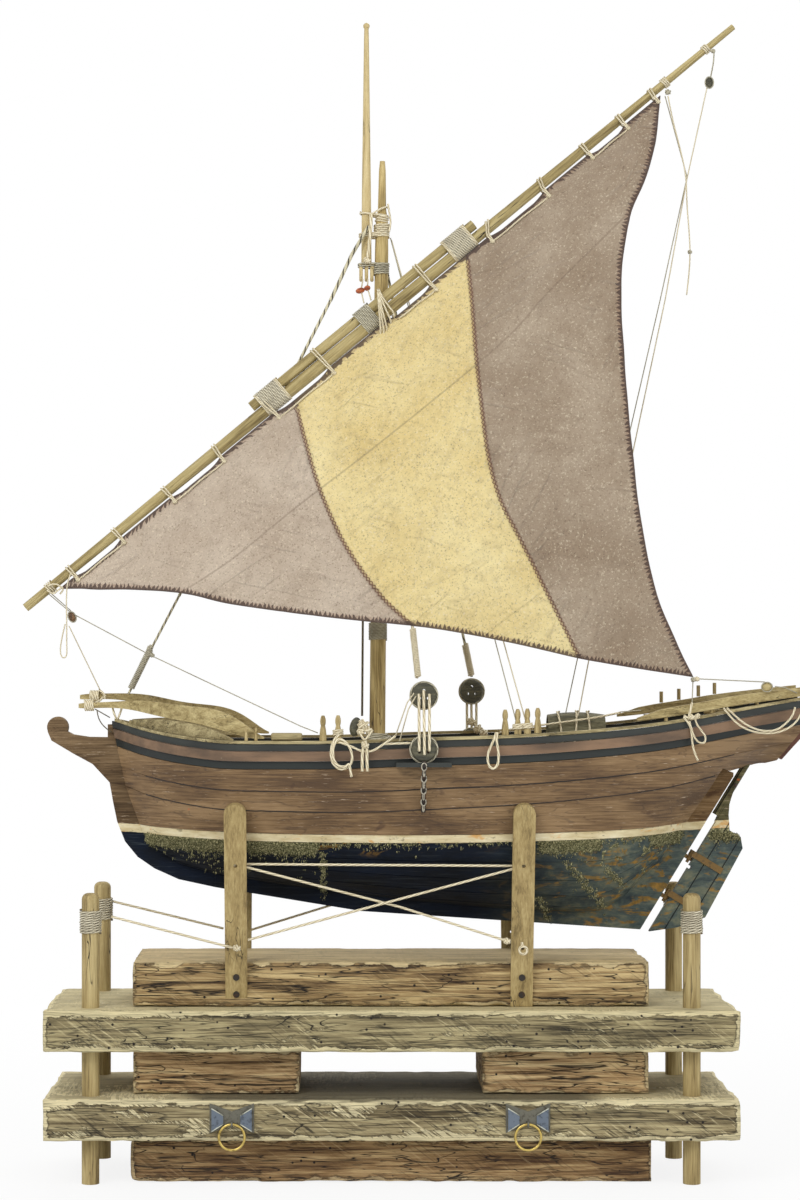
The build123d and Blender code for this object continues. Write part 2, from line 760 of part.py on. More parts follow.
def on_post(x, shape):
    plane, up = post_plane(x)
    local_y = plane.y_dir
    if local_y.Z < 0:
        shape = mirror(shape, about=Plane.XZ)
    return plane * shape


def post(x):
    body = extrude(post_profile(), amount=POST_THICK)
    for hole in POST_HOLES:
        along = (hole - POST_BOTTOM) / math.cos(math.radians(POST_LEAN))
        body -= Pos(0, along, POST_THICK / 2) * Cylinder(POST_HOLE_RADIUS, POST_THICK * 2)
    for height in SCREW_HEIGHTS:
        along = (height - POST_BOTTOM) / math.cos(math.radians(POST_LEAN))
        body -= Pos(0, along, POST_THICK / 2) * Cylinder(SCREW_SHANK_RADIUS + 0.05, POST_THICK * 2)
    return on_post(x, body)


def post_screws(x):
    solids = []
    for height in SCREW_HEIGHTS:
        along = (height - POST_BOTTOM) / math.cos(math.radians(POST_LEAN))
        head_middle = POST_THICK + STRAP_BED + SCREW_HEAD_THICK / 2
        head = Pos(0, along, head_middle) * Cylinder(SCREW_HEAD_RADIUS, SCREW_HEAD_THICK)
        shank = Pos(0, along, POST_THICK / 2 + 0.3) * Cylinder(SCREW_SHANK_RADIUS, POST_THICK)
        solids.append(on_post(x, head + shank))
    return solids


def top_block():
    body = timber(TOP_BLOCK_LENGTH, TOP_BLOCK_WIDTH, TOP_BLOCK_Z, TOP_BLOCK_Z + TOP_BLOCK_THICK)
    for x in POST_X:
        slot = Pos(0, 0, -NOTCH_FIT) * extrude(post_profile(NOTCH_SIDE), amount=POST_THICK * 4)
        slot = on_post(x, slot)
        body -= slot
        body -= mirror_y(slot)
    return body


# Ring pulls on the lower plank

def ring_axis_y():
    return -PLANK_WIDTH / 2 - RING_STANDOFF


def ring(x):
    """A wire ring that hangs from its eye."""
    centre_z = RING_PIVOT_Z - RING_RADIUS
    return Plane(origin=(x, ring_axis_y(), centre_z), z_dir=(0, 1, 0)) * Torus(RING_RADIUS, RING_WIRE)


def ring_plate(x):
    """A thin plate with a waist, nailed on the plank's front, and the eye that carries the ring."""
    half = RING_PLATE_LENGTH / 2
    tall = RING_PLATE_HEIGHT / 2
    waist = RING_PLATE_WAIST / 2
    corners = ((-half, -tall), (0, -waist), (half, -tall), (half, tall), (0, waist), (-half, tall))
    face_y = -PLANK_WIDTH / 2 - STRAP_BED
    plate = extrude(Plane(origin=(x, face_y, RING_PLATE_Z), x_dir=(1, 0, 0), z_dir=(0, -1, 0))
                    * make_face(Polyline(*corners, close=True)), amount=RING_PLATE_THICK)
    bore = RING_WIRE + EYE_BORE
    eye = Plane(origin=(x, ring_axis_y(), RING_PIVOT_Z), z_dir=(1, 0, 0)) * Torus(bore + EYE_WIRE, EYE_WIRE)
    return plate + eye


# Spars

def yard_y():
    return -(MAST_RADIUS + YARD_RADII[1] + BINDING_THICK + SPAR_CLEAR)


def yard_point(along, lift=0.0):
    """A point in the side view, from its distance up the yard's axis and its height square to it."""
    run_x = YARD_PEAK[0] - YARD_HEEL[0]
    run_z = YARD_PEAK[1] - YARD_HEEL[1]
    length = math.hypot(run_x, run_z)
    x = YARD_HEEL[0] + (along * run_x - lift * run_z) / length
    z = YARD_HEEL[1] + (along * run_z + lift * run_x) / length
    return x, z


def on_yard(along, lift=0.0):
    x, z = yard_point(along, lift)
    return x, yard_y(), z


def yard(grow=0.0):
    """The long lateen yard, in tapered lengths from heel to peak, port of the mast."""
    length = math.hypot(YARD_PEAK[0] - YARD_HEEL[0], YARD_PEAK[1] - YARD_HEEL[1])
    stops = (0,) + YARD_BREAKS + (1,)
    spar = Part()
    for k in range(len(stops) - 1):
        start = on_yard(length * stops[k])
        end = on_yard(length * stops[k + 1])
        spar += rod(start, end, YARD_RADII[k] + grow, YARD_RADII[k + 1] + grow)
    return spar


def fish_lift():
    return YARD_RADII[1] + FISH_RADIUS + FISH_BED


def fish_spar(grow=0.0):
    """The short spar that stiffens the middle of the yard on its upper side."""
    return rod(on_yard(FISH_ENDS[0], fish_lift()), on_yard(FISH_ENDS[1], fish_lift()), FISH_RADIUS + grow)


def yard_bindings():
    """Cord bound round the yard and the short spar, one band near each end of it."""
    inner = YARD_RADII[1] + BINDING_THICK
    bands = []
    for along in BINDING_PLACES:
        direction = Vector(*on_yard(along + 1)) - Vector(*on_yard(along))
        plane = Plane(origin=on_yard(along, fish_lift() / 2), x_dir=(0, 1, 0), z_dir=direction)
        slot = plane * (Rot(0, 0, 90) * SlotCenterToCenter(fish_lift(), 2 * inner))
        band = extrude(slot, amount=BINDING_WIDTH / 2, both=True)
        bands.append(band - yard(BINDING_FIT) - fish_spar(BINDING_FIT) - sail(SAIL_THICK + 2 * SEAT_GAP))
    return bands


def mast(grow=0.0):
    foot = (MAST_X, 0, rail(MAST_X) - MAST_DEPTH)
    return rod(foot, (MAST_HEAD_X, 0, MAST_TOP), MAST_RADIUS + grow, MAST_HEAD_RADIUS + grow)


def mast_centre(z):
    foot_z = rail(MAST_X) - MAST_DEPTH
    return MAST_X + (MAST_HEAD_X - MAST_X) * (z - foot_z) / (MAST_TOP - foot_z)


def mast_width(z):
    foot_z = rail(MAST_X) - MAST_DEPTH
    return MAST_RADIUS + (MAST_HEAD_RADIUS - MAST_RADIUS) * (z - foot_z) / (MAST_TOP - foot_z)


def parrel():
    """The band that holds the yard to the mast."""
    span = -yard_y()
    wide = 2 * (YARD_RADII[1] + BINDING_THICK + PARREL_SLACK)
    slot = Pos(mast_centre(PARREL_Z), -span / 2, PARREL_Z) * (Rot(0, 0, 90) * SlotCenterToCenter(span, wide))
    band = extrude(slot, amount=PARREL_WIDTH / 2, both=True)
    return band - mast(BINDING_FIT) - yard(BINDING_FIT) - sail(SAIL_THICK + 2 * SEAT_GAP)


def staff(grow=0.0):
    foot = (STAFF_X, 0, STAFF_BOTTOM)
    pole = rod(foot, (STAFF_X, 0, STAFF_TOP), STAFF_RADIUS + grow, STAFF_HEAD_RADIUS + grow)
    return pole + Pos(STAFF_X, 0, STAFF_TOP + BALL_RADIUS * 0.7) * Sphere(BALL_RADIUS)


def staff_lashings():
    """Cord round the mast and the staff ahead of it."""
    bands = []
    for low, height in STAFF_LASHINGS:
        z = low + height / 2
        middle = (STAFF_X + mast_centre(z)) / 2
        span = mast_centre(z) - STAFF_X
        wide = 2 * (mast_width(low) + BINDING_THICK)
        slot = Pos(middle, 0, z) * SlotCenterToCenter(span, wide)
        bands.append(extrude(slot, amount=height / 2, both=True) - mast(BINDING_FIT) - staff(BINDING_FIT))
    return bands


# Sail

def sail_corners():
    return yard_point(SAIL_HEAD[0], -SAIL_HEAD_DROP), yard_point(SAIL_HEAD[1], -SAIL_HEAD_DROP), SAIL_CLEW


def sail_outline():
    tack, peak, clew = sail_corners()
    leech = ThreePointArc(peak, LEECH_BENDS[0], LEECH_BENDS[1])
    leech += ThreePointArc(LEECH_BENDS[1], LEECH_BENDS[2], clew)
    foot = ThreePointArc(clew, FOOT_BENDS[0], FOOT_BENDS[1])
    foot += ThreePointArc(FOOT_BENDS[1], FOOT_BENDS[2], tack)
    return make_face(Line(tack, peak) + leech + foot)


def sail(thick=SAIL_THICK):
    """Cloth that bellies to port outside the shroud, bent about the direction of the yard."""
    tack, peak, clew = sail_corners()
    direction = (Vector(peak[0], 0, peak[1]) - Vector(tack[0], 0, tack[1])).normalized()
    down = Vector(direction.Z, 0, -direction.X)
    origin = Vector(*on_yard(SAIL_HEAD[0]))
    origin = Vector(origin.X, 0, origin.Z) - direction * SAIL_MARGIN
    section = Plane(origin=origin, x_dir=down, z_dir=direction)
    side = 1 if section.y_dir.Y > 0 else -1
    near = [(drop, side * y - thick / 2) for drop, y in SAIL_ARC]
    far = [(drop, side * y + thick / 2) for drop, y in SAIL_ARC]
    edge = ThreePointArc(*near) + Line(near[-1], far[-1])
    edge += ThreePointArc(*reversed(far)) + Line(far[0], near[0])
    sheet = extrude(section * make_face(edge), amount=(SAIL_HEAD[1] - SAIL_HEAD[0]) + 4 * SAIL_MARGIN)
    outline = extrude(Plane.XZ * sail_outline(), amount=PLANK_WIDTH, both=True)
    return sheet & outline


# Rigging

def deadeye(x, y, z):
    disc = Cylinder(DEADEYE_RADIUS, DEADEYE_THICK)
    disc = fillet(disc.edges().filter_by(GeomType.CIRCLE), DEADEYE_THICK * 0.35)
    for turn in (90, 210, 330):
        reach = DEADEYE_RADIUS * 0.4
        place = Pos(reach * math.cos(math.radians(turn)), reach * math.sin(math.radians(turn)), 0)
        disc -= place * Cylinder(DEADEYE_HOLE, DEADEYE_THICK * 2)
    return Plane(origin=(x, y, z), x_dir=(1, 0, 0), z_dir=(0, -1, 0)) * disc


def channel_top(x):
    return rail(x) - CHANNEL_DROP


def channel_outer(x):
    return half_breadth(x, channel_top(x)) + RUB_PROUD + CHANNEL_WIDTH


def channel(x):
    """The shelf outside the hull that spreads the starboard shroud."""
    z = channel_top(x)
    half = CHANNEL_LENGTH / 2
    inner = max(half_breadth(x + share * half / 2, z) for share in (-2, -1, 0, 1, 2)) + CHANNEL_BED
    return block(x - half, x + half, inner, channel_outer(x), z - CHANNEL_THICK, z)


def deadeye_y(x):
    return channel_outer(x) - DEADEYE_THICK / 2 - CHAINPLATE_THICK


def lower_deadeye_z(x):
    return channel_top(x) + DEADEYE_RADIUS + DEADEYE_SEAT


def chainplate(x):
    """Iron strip from the channel's edge down the planks to a bolt."""
    outer = channel_outer(x) + SEAT_GAP
    top = channel_top(x)
    foot_z = top - CHAINPLATE_LENGTH
    foot_y = half_breadth(x, foot_z) + SEAT_GAP
    points = ((outer, top + 1), (outer, top - CHANNEL_THICK), (foot_y + 0.5, foot_z),
              (foot_y + 0.5 + CHAINPLATE_THICK, foot_z), (outer + CHAINPLATE_THICK, top - CHANNEL_THICK),
              (outer + CHAINPLATE_THICK, top + 1))
    across = Plane(origin=(x, 0, 0), x_dir=(0, 1, 0), z_dir=(1, 0, 0))
    strip = across * make_face(Polyline(*points, close=True))
    return extrude(strip, amount=CHAINPLATE_WIDTH / 2, both=True)


def shroud(x, y, top_z, side):
    """A stay from the mast to the upper deadeye; side is -1 to port, where the sail hangs outside it."""
    head_z = SHROUD_HEAD_Z if side > 0 else PORT_SHROUD_HEAD_Z
    beside = mast_width(head_z) + SHROUD_RADIUS + SEAT_GAP
    start = (mast_centre(head_z), side * beside, head_z)
    return rod(start, (x, side * y, top_z), SHROUD_RADIUS)


def lanyards(x, y, low, high):
    """Three taut cords from deadeye to deadeye."""
    reach = DEADEYE_RADIUS * 0.4
    cords = []
    for step in (-1, 0, 1):
        cord_x = x + step * reach
        cords.append(rod((cord_x, y, low + DEADEYE_SEAT), (cord_x, y, high - DEADEYE_SEAT), LANYARD_RADIUS))
    return cords


def forestay():
    return rod((STAY_HEAD[0], 0, STAY_HEAD[1]), (STAY_FOOT[0], 0, STAY_FOOT[1]), STAY_RADIUS)


# Deck gear

def turned_pin(length, radius, head):
    """A belaying pin: a swelling shank, a waist and a rounded handle."""
    waist = radius * 0.6
    neck = length * 0.6
    profile = Line((0, 0), (radius, 0))
    profile += ThreePointArc((radius, 0), (radius * 0.9, length * 0.35), (waist, neck))
    profile += ThreePointArc((waist, neck), (head, length * 0.8), (head * 0.5, length))
    profile += Line((head * 0.5, length), (0, length)) + Line((0, length), (0, 0))
    return revolve(Plane.XZ * make_face(profile), Axis.Z)


def rail_top(x, reach=PIN_RADIUS):
    """Height at which a piece that reaches so far each way rests on the cap rail."""
    return max(rail(x - reach), rail(x), rail(x + reach)) + CAP_RAIL_THICK + SEAT_GAP


def rail_seat(x, reach=PIN_RADIUS):
    """Middle of the cap rail's top at x, starboard side."""
    return half_breadth(x, rail(x)) + CAP_RAIL_PROUD - CAP_RAIL_WIDTH / 2, rail_top(x, reach)


def rail_pins():
    pins = []
    for x in PIN_PLACES:
        y, z = rail_seat(x)
        pins.append(Pos(x, -y, z) * turned_pin(PIN_LENGTH, PIN_RADIUS, PIN_HEAD_RADIUS))
    for x in SMALL_PIN_PLACES:
        y, z = rail_seat(x)
        pins.append(Pos(x, -y, z) * turned_pin(SMALL_PIN_LENGTH, SMALL_PIN_RADIUS, SMALL_PIN_RADIUS))
    return pins


def roller():
    y, z = rail_seat(ROLLER_X, ROLLER_LENGTH / 2)
    place = Plane(origin=(ROLLER_X, -y, z + ROLLER_RADIUS), z_dir=(1, 0, 0))
    log = place * Cylinder(ROLLER_RADIUS, ROLLER_LENGTH)
    return fillet(log.edges().filter_by(GeomType.CIRCLE), ROLLER_RADIUS * 0.5)


def barrel_place():
    z = 0
    for k in range(-BARREL_CHECKS, BARREL_CHECKS + 1):
        share = k / BARREL_CHECKS
        radius = BARREL_BILGE - (BARREL_BILGE - BARREL_RADIUS) * share ** 2
        z = max(z, deck_height(BARREL_X + share * BARREL_LENGTH / 2) + radius)
    return Plane(origin=(BARREL_X, BARREL_Y, z + BARREL_SEAT), z_dir=(1, 0, 0))


def barrel():
    """A fish barrel lying on the deck: bulged staves with sunk heads."""
    half = BARREL_LENGTH / 2
    sunk = half - BARREL_HEAD_DEPTH
    rim = BARREL_RADIUS - BARREL_STAVE
    profile = Line((0, -sunk), (rim, -sunk)) + Line((rim, -sunk), (rim, -half))
    profile += Line((rim, -half), (BARREL_RADIUS, -half))
    profile += ThreePointArc((BARREL_RADIUS, -half), (BARREL_BILGE, 0), (BARREL_RADIUS, half))
    profile += Line((BARREL_RADIUS, half), (rim, half)) + Line((rim, half), (rim, sunk))
    profile += Line((rim, sunk), (0, sunk)) + Line((0, sunk), (0, -sunk))
    return barrel_place() * revolve(Plane.XZ * make_face(profile), Axis.Z)


def hatch():
    """A low coaming with its lid."""
    z = max(deck_height(HATCH_X + share * HATCH_LENGTH / 2) for share in (-1, 0, 1)) + 2 * SEAT_GAP
    half_l = HATCH_LENGTH / 2
    half_w = HATCH_WIDTH / 2
    lid_z = z + HATCH_HEIGHT - HATCH_LID
    coaming = block(HATCH_X - half_l, HATCH_X + half_l, -half_w, half_w, z, lid_z)
    half_l += HATCH_LIP
    half_w += HATCH_LIP
    lid = block(HATCH_X - half_l, HATCH_X + half_l, -half_w, half_w, lid_z, z + HATCH_HEIGHT)
    return coaming + chamfer(lid.faces().sort_by(Axis.Z)[-1].edges(), 0.8)


def upright_loft(rows, width, ruled=False):
    """A timber through sections that each hold x, y, underside and top."""
    sections = []
    half = width / 2
    for x, y, low, high in rows:
        corners = ((x, y - half, low), (x, y + half, low), (x, y + half, high), (x, y - half, high))
        sections.append(make_face(Polyline(*corners, close=True)))
    return loft(sections, ruled=ruled)


def bow_timber(side):
    """One curved timber over the bow rail; side is -1 to port, 1 to starboard, whose horn rides higher."""
    rows = []
    for x, y, low, high, lift in BOW_TIMBER:
        raise_by = lift if side > 0 else 0
        rows.append((x, side * y, low + raise_by, high + raise_by))
    return upright_loft(rows, BOW_TIMBER_WIDTH)


def wash_board(side):
    """The lens-shaped board between the rail and the bow timber."""
    rows = []
    for x, y, height in WASH_BOARD:
        low = rail(x) + CAP_RAIL_THICK + SEAT_GAP
        rows.append((x, side * y, low, low + height))
    return upright_loft(rows, BOW_TIMBER_WIDTH - 1)


def stern_beam_y(x):
    return half_breadth(x, rail(x)) - STERN_BEAM_INSET


def beam_value(column, x):
    """Straight-line value of a stern beam column at x."""
    index = STERN_BEAM_COLUMNS.index(column)
    for low, high in zip(STERN_BEAM, STERN_BEAM[1:]):
        if x <= high[0]:
            share = (x - low[0]) / (high[0] - low[0])
            return low[index] + share * (high[index] - low[index])
    return STERN_BEAM[-1][index]


def beam_underside(x):
    return rail(x) + CAP_RAIL_THICK + beam_value("gap", x)


def stern_beam():
    """The starboard beam over the stern rail, thin where it starts."""
    first, last = STERN_BEAM[0][0], STERN_BEAM[-1][0]
    rows = []
    for k in range(STERN_BEAM_SECTIONS + 1):
        x = first + (last - first) * (k / STERN_BEAM_SECTIONS) ** STERN_BEAM_CROWDING
        low = beam_underside(x)
        rows.append((x, stern_beam_y(x), low, low + beam_value("height", x)))
    return upright_loft(rows, STERN_BEAM_WIDTH, ruled=True)


def stern_stanchions():
    """Short posts that carry the starboard beam above the rail."""
    posts = []
    for x in STERN_STANCHIONS:
        high = min(beam_underside(x - THOLE_RADIUS), beam_underside(x + THOLE_RADIUS)) - STANCHION_HEAD
        low = rail_top(x, THOLE_RADIUS)
        posts.append(rod((x, stern_beam_y(x), low), (x, stern_beam_y(x), high), THOLE_RADIUS))
    return posts


def tholes():
    """Thole pins on the starboard stern beam."""
    pins = []
    for x in THOLE_PLACES:
        edge = x + THOLE_RADIUS
        low = beam_underside(edge) + beam_value("height", edge) + STANCHION_HEAD
        pins.append(rod((x, stern_beam_y(x), low), (x, stern_beam_y(x), low + THOLE_HEIGHT), THOLE_RADIUS))
    return pins


# The pieces, one STEP file for each name

def shroud_gear(x, side):
    y = deadeye_y(x)
    low_z = lower_deadeye_z(x)
    high_z = low_z + DEADEYE_SPAN
    return {
        "deadeyes": [deadeye(x, side * y, low_z), deadeye(x, side * y, high_z)],
        "lanyards": lanyards(x, side * y, low_z + DEADEYE_RADIUS, high_z - DEADEYE_RADIUS),
        "shroud": [shroud(x, y, high_z + DEADEYE_RADIUS + DEADEYE_SEAT, side)],
    }


def pieces():
    port = shroud_gear(SHROUD_X, -1)
    starboard = shroud_gear(STARBOARD_SHROUD_X, 1)
    topsides = [strake(n, n + 1) - stock_bore() for n in range(3, 6)]
    bottom = [strake(n, n + 1) for n in range(7, 7 + BOTTOM_PLANKS)]
    uppers = strake(0, 1)
    rubs = strake(1, 2, RUB_PROUD)
    bands = strake(2, 3)
    stripe = strake(6, 7)
    posts = [post(x) for x in POST_X]
    screws = [screw for x in POST_X for screw in post_screws(x)]
    spacer_x = TOP_BLOCK_LENGTH / 2 - SPACER_LENGTH / 2
    return {
        "base_timber": [timber(BASE_LENGTH, BASE_WIDTH, 0, BASE_HEIGHT)],
        "lower_plank": [plank_timber(LOWER_PLANK_Z)],
        "spacer_blocks": [timber(SPACER_LENGTH, SPACER_WIDTH, SPACER_Z, SPACER_Z + SPACER_THICK, x)
                          for x in (-spacer_x, spacer_x)],
        "upper_plank": [plank_timber(UPPER_PLANK_Z)],
        "top_block": [top_block()],
        "stand_dowels": [dowel(x, y) for x, y in dowel_places()],
        "dowel_whippings": [whipping(x, y) for x, y in dowel_places()],
        "posts": posts + [mirror_y(shape) for shape in posts],
        "post_screws": screws + [mirror_y(shape) for shape in screws],
        "ring_plates": [ring_plate(x) for x in RING_X],
        "ring_left": [ring(RING_X[0])],
        "ring_right": [ring(RING_X[1])],
        "hull_core": [hull_core()],
        "stem": [scroll_stem()],
        "keel": [keel()],
        "sternpost": [sternpost()],
        "gudgeons": [gudgeon(top) for top in PINTLE_STATIONS],
        "topside_planks_starboard": topsides,
        "topside_planks_port": [mirror_y(shape) for shape in topsides],
        "bottom_planks_starboard": bottom,
        "bottom_planks_port": [mirror_y(shape) for shape in bottom],
        "waterline_strakes": [stripe, mirror_y(stripe)],
        "band_strakes": [bands, mirror_y(bands)],
        "rubbing_strakes": [rubs, mirror_y(rubs)],
        "bulwarks": [uppers, mirror_y(uppers)],
        "cap_rails": [cap_rail(), mirror_y(cap_rail())],
        "transom": [transom()],
        "deck": [deck_plate()],
        "hatch": [hatch()],
        "bow_timbers": [bow_timber(-1), bow_timber(1)],
        "wash_boards": [wash_board(-1), wash_board(1)],
        "stern_beams": [stern_beam(), mirror_y(stern_beam())],
        "stern_stanchions": stern_stanchions() + [mirror_y(shape) for shape in stern_stanchions()],
        "tholes": tholes(),
        "channels": [mirror_y(channel(SHROUD_X)), channel(STARBOARD_SHROUD_X)],
        "chainplates": [mirror_y(chainplate(SHROUD_X)), chainplate(STARBOARD_SHROUD_X)],
        "deadeyes": port["deadeyes"] + starboard["deadeyes"],
        "lanyards": port["lanyards"] + starboard["lanyards"],
        "shrouds": port["shroud"] + starboard["shroud"],
        "forestay": [forestay()],
        "belaying_pins": rail_pins(),
        "roller": [roller()],
        "barrel": [barrel()],
        "mast": [mast()],
        "staff": [staff()],
        "staff_lashings": staff_lashings(),
        "yard": [yard()],
        "fish_spar": [fish_spar()],
        "yard_bindings": yard_bindings(),
        "parrel": [parrel()],
        "sail": [sail()],
        "rudder": [rudder_blade()],
        "rudder_straps": [rudder_strap(distance) for distance in PINTLE_STATIONS],
        "tiller": [tiller()],
    }


def main():
    os.makedirs("parts", exist_ok=True)
    for name, shapes in pieces().items():
        export_step(group(*shapes), f"parts/{name}.step")


main()
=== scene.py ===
import bpy
import bmesh
import json
import math
import random
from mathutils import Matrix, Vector, noise
from mathutils.bvhtree import BVHTree


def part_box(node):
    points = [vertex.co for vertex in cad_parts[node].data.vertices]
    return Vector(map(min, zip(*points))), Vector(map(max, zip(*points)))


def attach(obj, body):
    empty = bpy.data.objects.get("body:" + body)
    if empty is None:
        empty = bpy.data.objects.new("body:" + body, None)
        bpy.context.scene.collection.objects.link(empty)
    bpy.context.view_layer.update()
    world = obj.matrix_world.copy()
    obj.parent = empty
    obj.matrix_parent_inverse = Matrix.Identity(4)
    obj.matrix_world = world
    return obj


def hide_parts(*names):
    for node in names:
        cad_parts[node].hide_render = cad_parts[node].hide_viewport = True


# A wooden model of a fishing boat with a lateen sail on a stand of stacked timbers.
# Lengths in the tables are millimetres in the model's own frame; MM turns them into metres.

MM = 0.001
BOAT = "boat_and_stand"

# One turn of a cord's strands, in radii
LAY = 7
# The cream stripe along the waterline, in metres: its top amidships, how its ends rise, its height
STRIPE_TOP = 0.2386
STRIPE_RISE = 0.12
STRIPE_HEIGHT = 0.0056
# Slope of the saw marks on the rough timbers
SAW_SLOPE = -0.62
# How far in from its edges a timber is worn
WORN_EDGE = 6.0
CHIP = 2.2
# Each spacer block on the lower plank is this long
SPACER_LENGTH = 115
# Where the mast, the staff, the dowels and the middles of the ring plates stand
MAST_X = -5.6
STAFF_X = -16.2
DOWEL_X = 205
DOWEL_Y = 47.5
RING_PLATES = (-108, 92)

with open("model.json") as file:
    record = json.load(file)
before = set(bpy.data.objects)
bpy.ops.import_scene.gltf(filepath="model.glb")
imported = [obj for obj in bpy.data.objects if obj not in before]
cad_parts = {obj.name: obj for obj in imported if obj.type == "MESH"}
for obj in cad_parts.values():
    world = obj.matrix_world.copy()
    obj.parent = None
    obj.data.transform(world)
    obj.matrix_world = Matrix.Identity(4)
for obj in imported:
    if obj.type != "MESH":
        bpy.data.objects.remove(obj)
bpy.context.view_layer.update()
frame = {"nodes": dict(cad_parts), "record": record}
scene = bpy.context.scene


# Node trees

class Value:
    """A number that a node puts out; sums and products of it add nodes."""

    def __init__(self, tree, out):
        self.tree = tree
        self.out = out

    def __add__(self, other):
        return self.tree.math("ADD", self, other)

    def __radd__(self, other):
        return self.tree.math("ADD", other, self)

    def __sub__(self, other):
        return self.tree.math("SUBTRACT", self, other)

    def __rsub__(self, other):
        return self.tree.math("SUBTRACT", other, self)

    def __mul__(self, other):
        return self.tree.math("MULTIPLY", self, other)

    def __truediv__(self, other):
        return self.tree.math("DIVIDE", self, other)

    def __abs__(self):
        return self.tree.math("ABSOLUTE", self)


def socket(value, target):
    """Links a node's output to an input, or sets the input to a plain number, vector or colour."""
    if isinstance(value, Value):
        value = value.out
    if isinstance(value, bpy.types.NodeSocket):
        target.id_data.links.new(value, target)
        return
    if hasattr(target.default_value, "__len__") and not hasattr(value, "__len__"):
        value = [value] * len(target.default_value)
    if target.type == "RGBA" and len(value) == 3:
        value = (*value, 1)
    target.default_value = value


class Tree:
    """A material's node tree, with short calls for the patterns used here."""

    def __init__(self, name):
        self.material = bpy.data.materials.new(name)
        self.material.use_nodes = True
        self.nodes = self.material.node_tree.nodes
        self.nodes.clear()
        self.place = self.add("ShaderNodeTexCoord").outputs["Object"]

    def add(self, kind, inputs=None, **settings):
        node = self.nodes.new(kind)
        for key, value in settings.items():
            setattr(node, key, value)
        for key, value in (inputs or {}).items():
            socket(value, node.inputs[key])
        return node

    def scaled(self, size, turn=(0, 0, 0), shift=(0, 0, 0)):
        """Object coordinates turned, then divided by a feature size in millimetres along each axis."""
        place = self.place
        if any(turn):
            place = self.add("ShaderNodeMapping", {"Vector": place, "Rotation": turn}).outputs[0]
        scale = [1 / (MM * each) for each in size]
        return self.add("ShaderNodeMapping",
                        {"Vector": place, "Scale": scale, "Location": shift}).outputs[0]

    def noise(self, size, detail=4, rough=0.55, distort=0.0, turn=(0, 0, 0), shift=(0, 0, 0)):
        inputs = {"Vector": self.scaled(size, turn, shift), "Scale": 1, "Detail": detail,
                  "Roughness": rough, "Distortion": distort}
        return Value(self, self.add("ShaderNodeTexNoise", inputs).outputs[0])

    def noise_vector(self, size, bend):
        """Scaled coordinates pushed about by a slower noise."""
        place = self.scaled(size)
        push = self.add("ShaderNodeTexNoise", {"Vector": place, "Scale": 0.8, "Detail": 3}).outputs[1]
        away = self.add("ShaderNodeVectorMath", {0: push, 1: (0.5, 0.5, 0.5)},
                        operation="SUBTRACT").outputs[0]
        away = self.add("ShaderNodeVectorMath", {0: away, "Scale": bend * 0.1},
                        operation="SCALE").outputs[0]
        return self.add("ShaderNodeVectorMath", {0: place, 1: away}, operation="ADD").outputs[0]

    def cells(self, size, shift=(0, 0, 0)):
        inputs = {"Vector": self.scaled(size, shift=shift), "Scale": 1, "Randomness": 1.0}
        return Value(self, self.add("ShaderNodeTexVoronoi", inputs, feature="F1").outputs["Distance"])

    def math(self, operation, a, b=0.5):
        return Value(self, self.add("ShaderNodeMath", {0: a, 1: b}, operation=operation).outputs[0])

    def step(self, value, low, high):
        """0 below low and 1 above high, or the other way round where low is the larger."""
        inputs = {"Value": value, "From Min": low, "From Max": high}
        return Value(self,
                     self.add("ShaderNodeMapRange", inputs, interpolation_type="SMOOTHSTEP").outputs[0])

    def ridge(self, value, width):
        """1 along the lines where a noise passes its middle."""
        away = abs(value - 0.5)
        return self.step(away, width, 0.0)

    def axis(self, name):
        return Value(self, self.add("ShaderNodeSeparateXYZ", {0: self.place}).outputs[name])

    def attribute(self, name):
        return Value(self, self.add("ShaderNodeAttribute", attribute_name=name).outputs["Fac"])

    def ramp(self, value, stops):
        node = self.add("ShaderNodeValToRGB", {0: value})
        bar = node.color_ramp
        while len(bar.elements) < len(stops):
            bar.elements.new(0.5)
        for element, (place, colour) in zip(bar.elements, stops):
            element.position = place
            element.color = (*linear(colour), 1)
        return node.outputs[0]

    def mix(self, factor, a, b):
        node = self.add("ShaderNodeMix", data_type="RGBA", blend_type="MIX")
        for key, value in ((0, factor), (6, tint(a)), (7, tint(b))):
            socket(value, node.inputs[key])
        return node.outputs[2]

    def bump(self, height, distance, normal=None):
        inputs = {"Height": height, "Distance": distance * MM, "Strength": 1.0}
        if normal is not None:
            inputs["Normal"] = normal
        return self.add("ShaderNodeBump", inputs).outputs[0]

    def finish(self, colour, rough=0.8, normal=None, metal=0.0, **more):
        inputs = {"Base Color": tint(colour), "Roughness": rough, "Metallic": metal}
        if normal is not None:
            inputs["Normal"] = normal
        inputs.update(more)
        shader = self.add("ShaderNodeBsdfPrincipled", inputs)
        output = self.add("ShaderNodeOutputMaterial")
        self.material.node_tree.links.new(shader.outputs[0], output.inputs[0])
        return self.material


def linear(colour):
    """A 0 to 255 colour as it looks on a screen, turned into light values."""
    values = []
    for part in colour:
        part = part / 255
        values.append(part / 12.92 if part <= 0.04045 else ((part + 0.055) / 1.055) ** 2.4)
    return tuple(values)


def tint(colour):
    if isinstance(colour, bpy.types.NodeSocket):
        return colour
    return (*linear(colour), 1)


# Materials

def stretched(along, across, direction):
    return {"x": (along, across, across), "y": (across, along, across),
            "z": (across, across, along)}[direction]


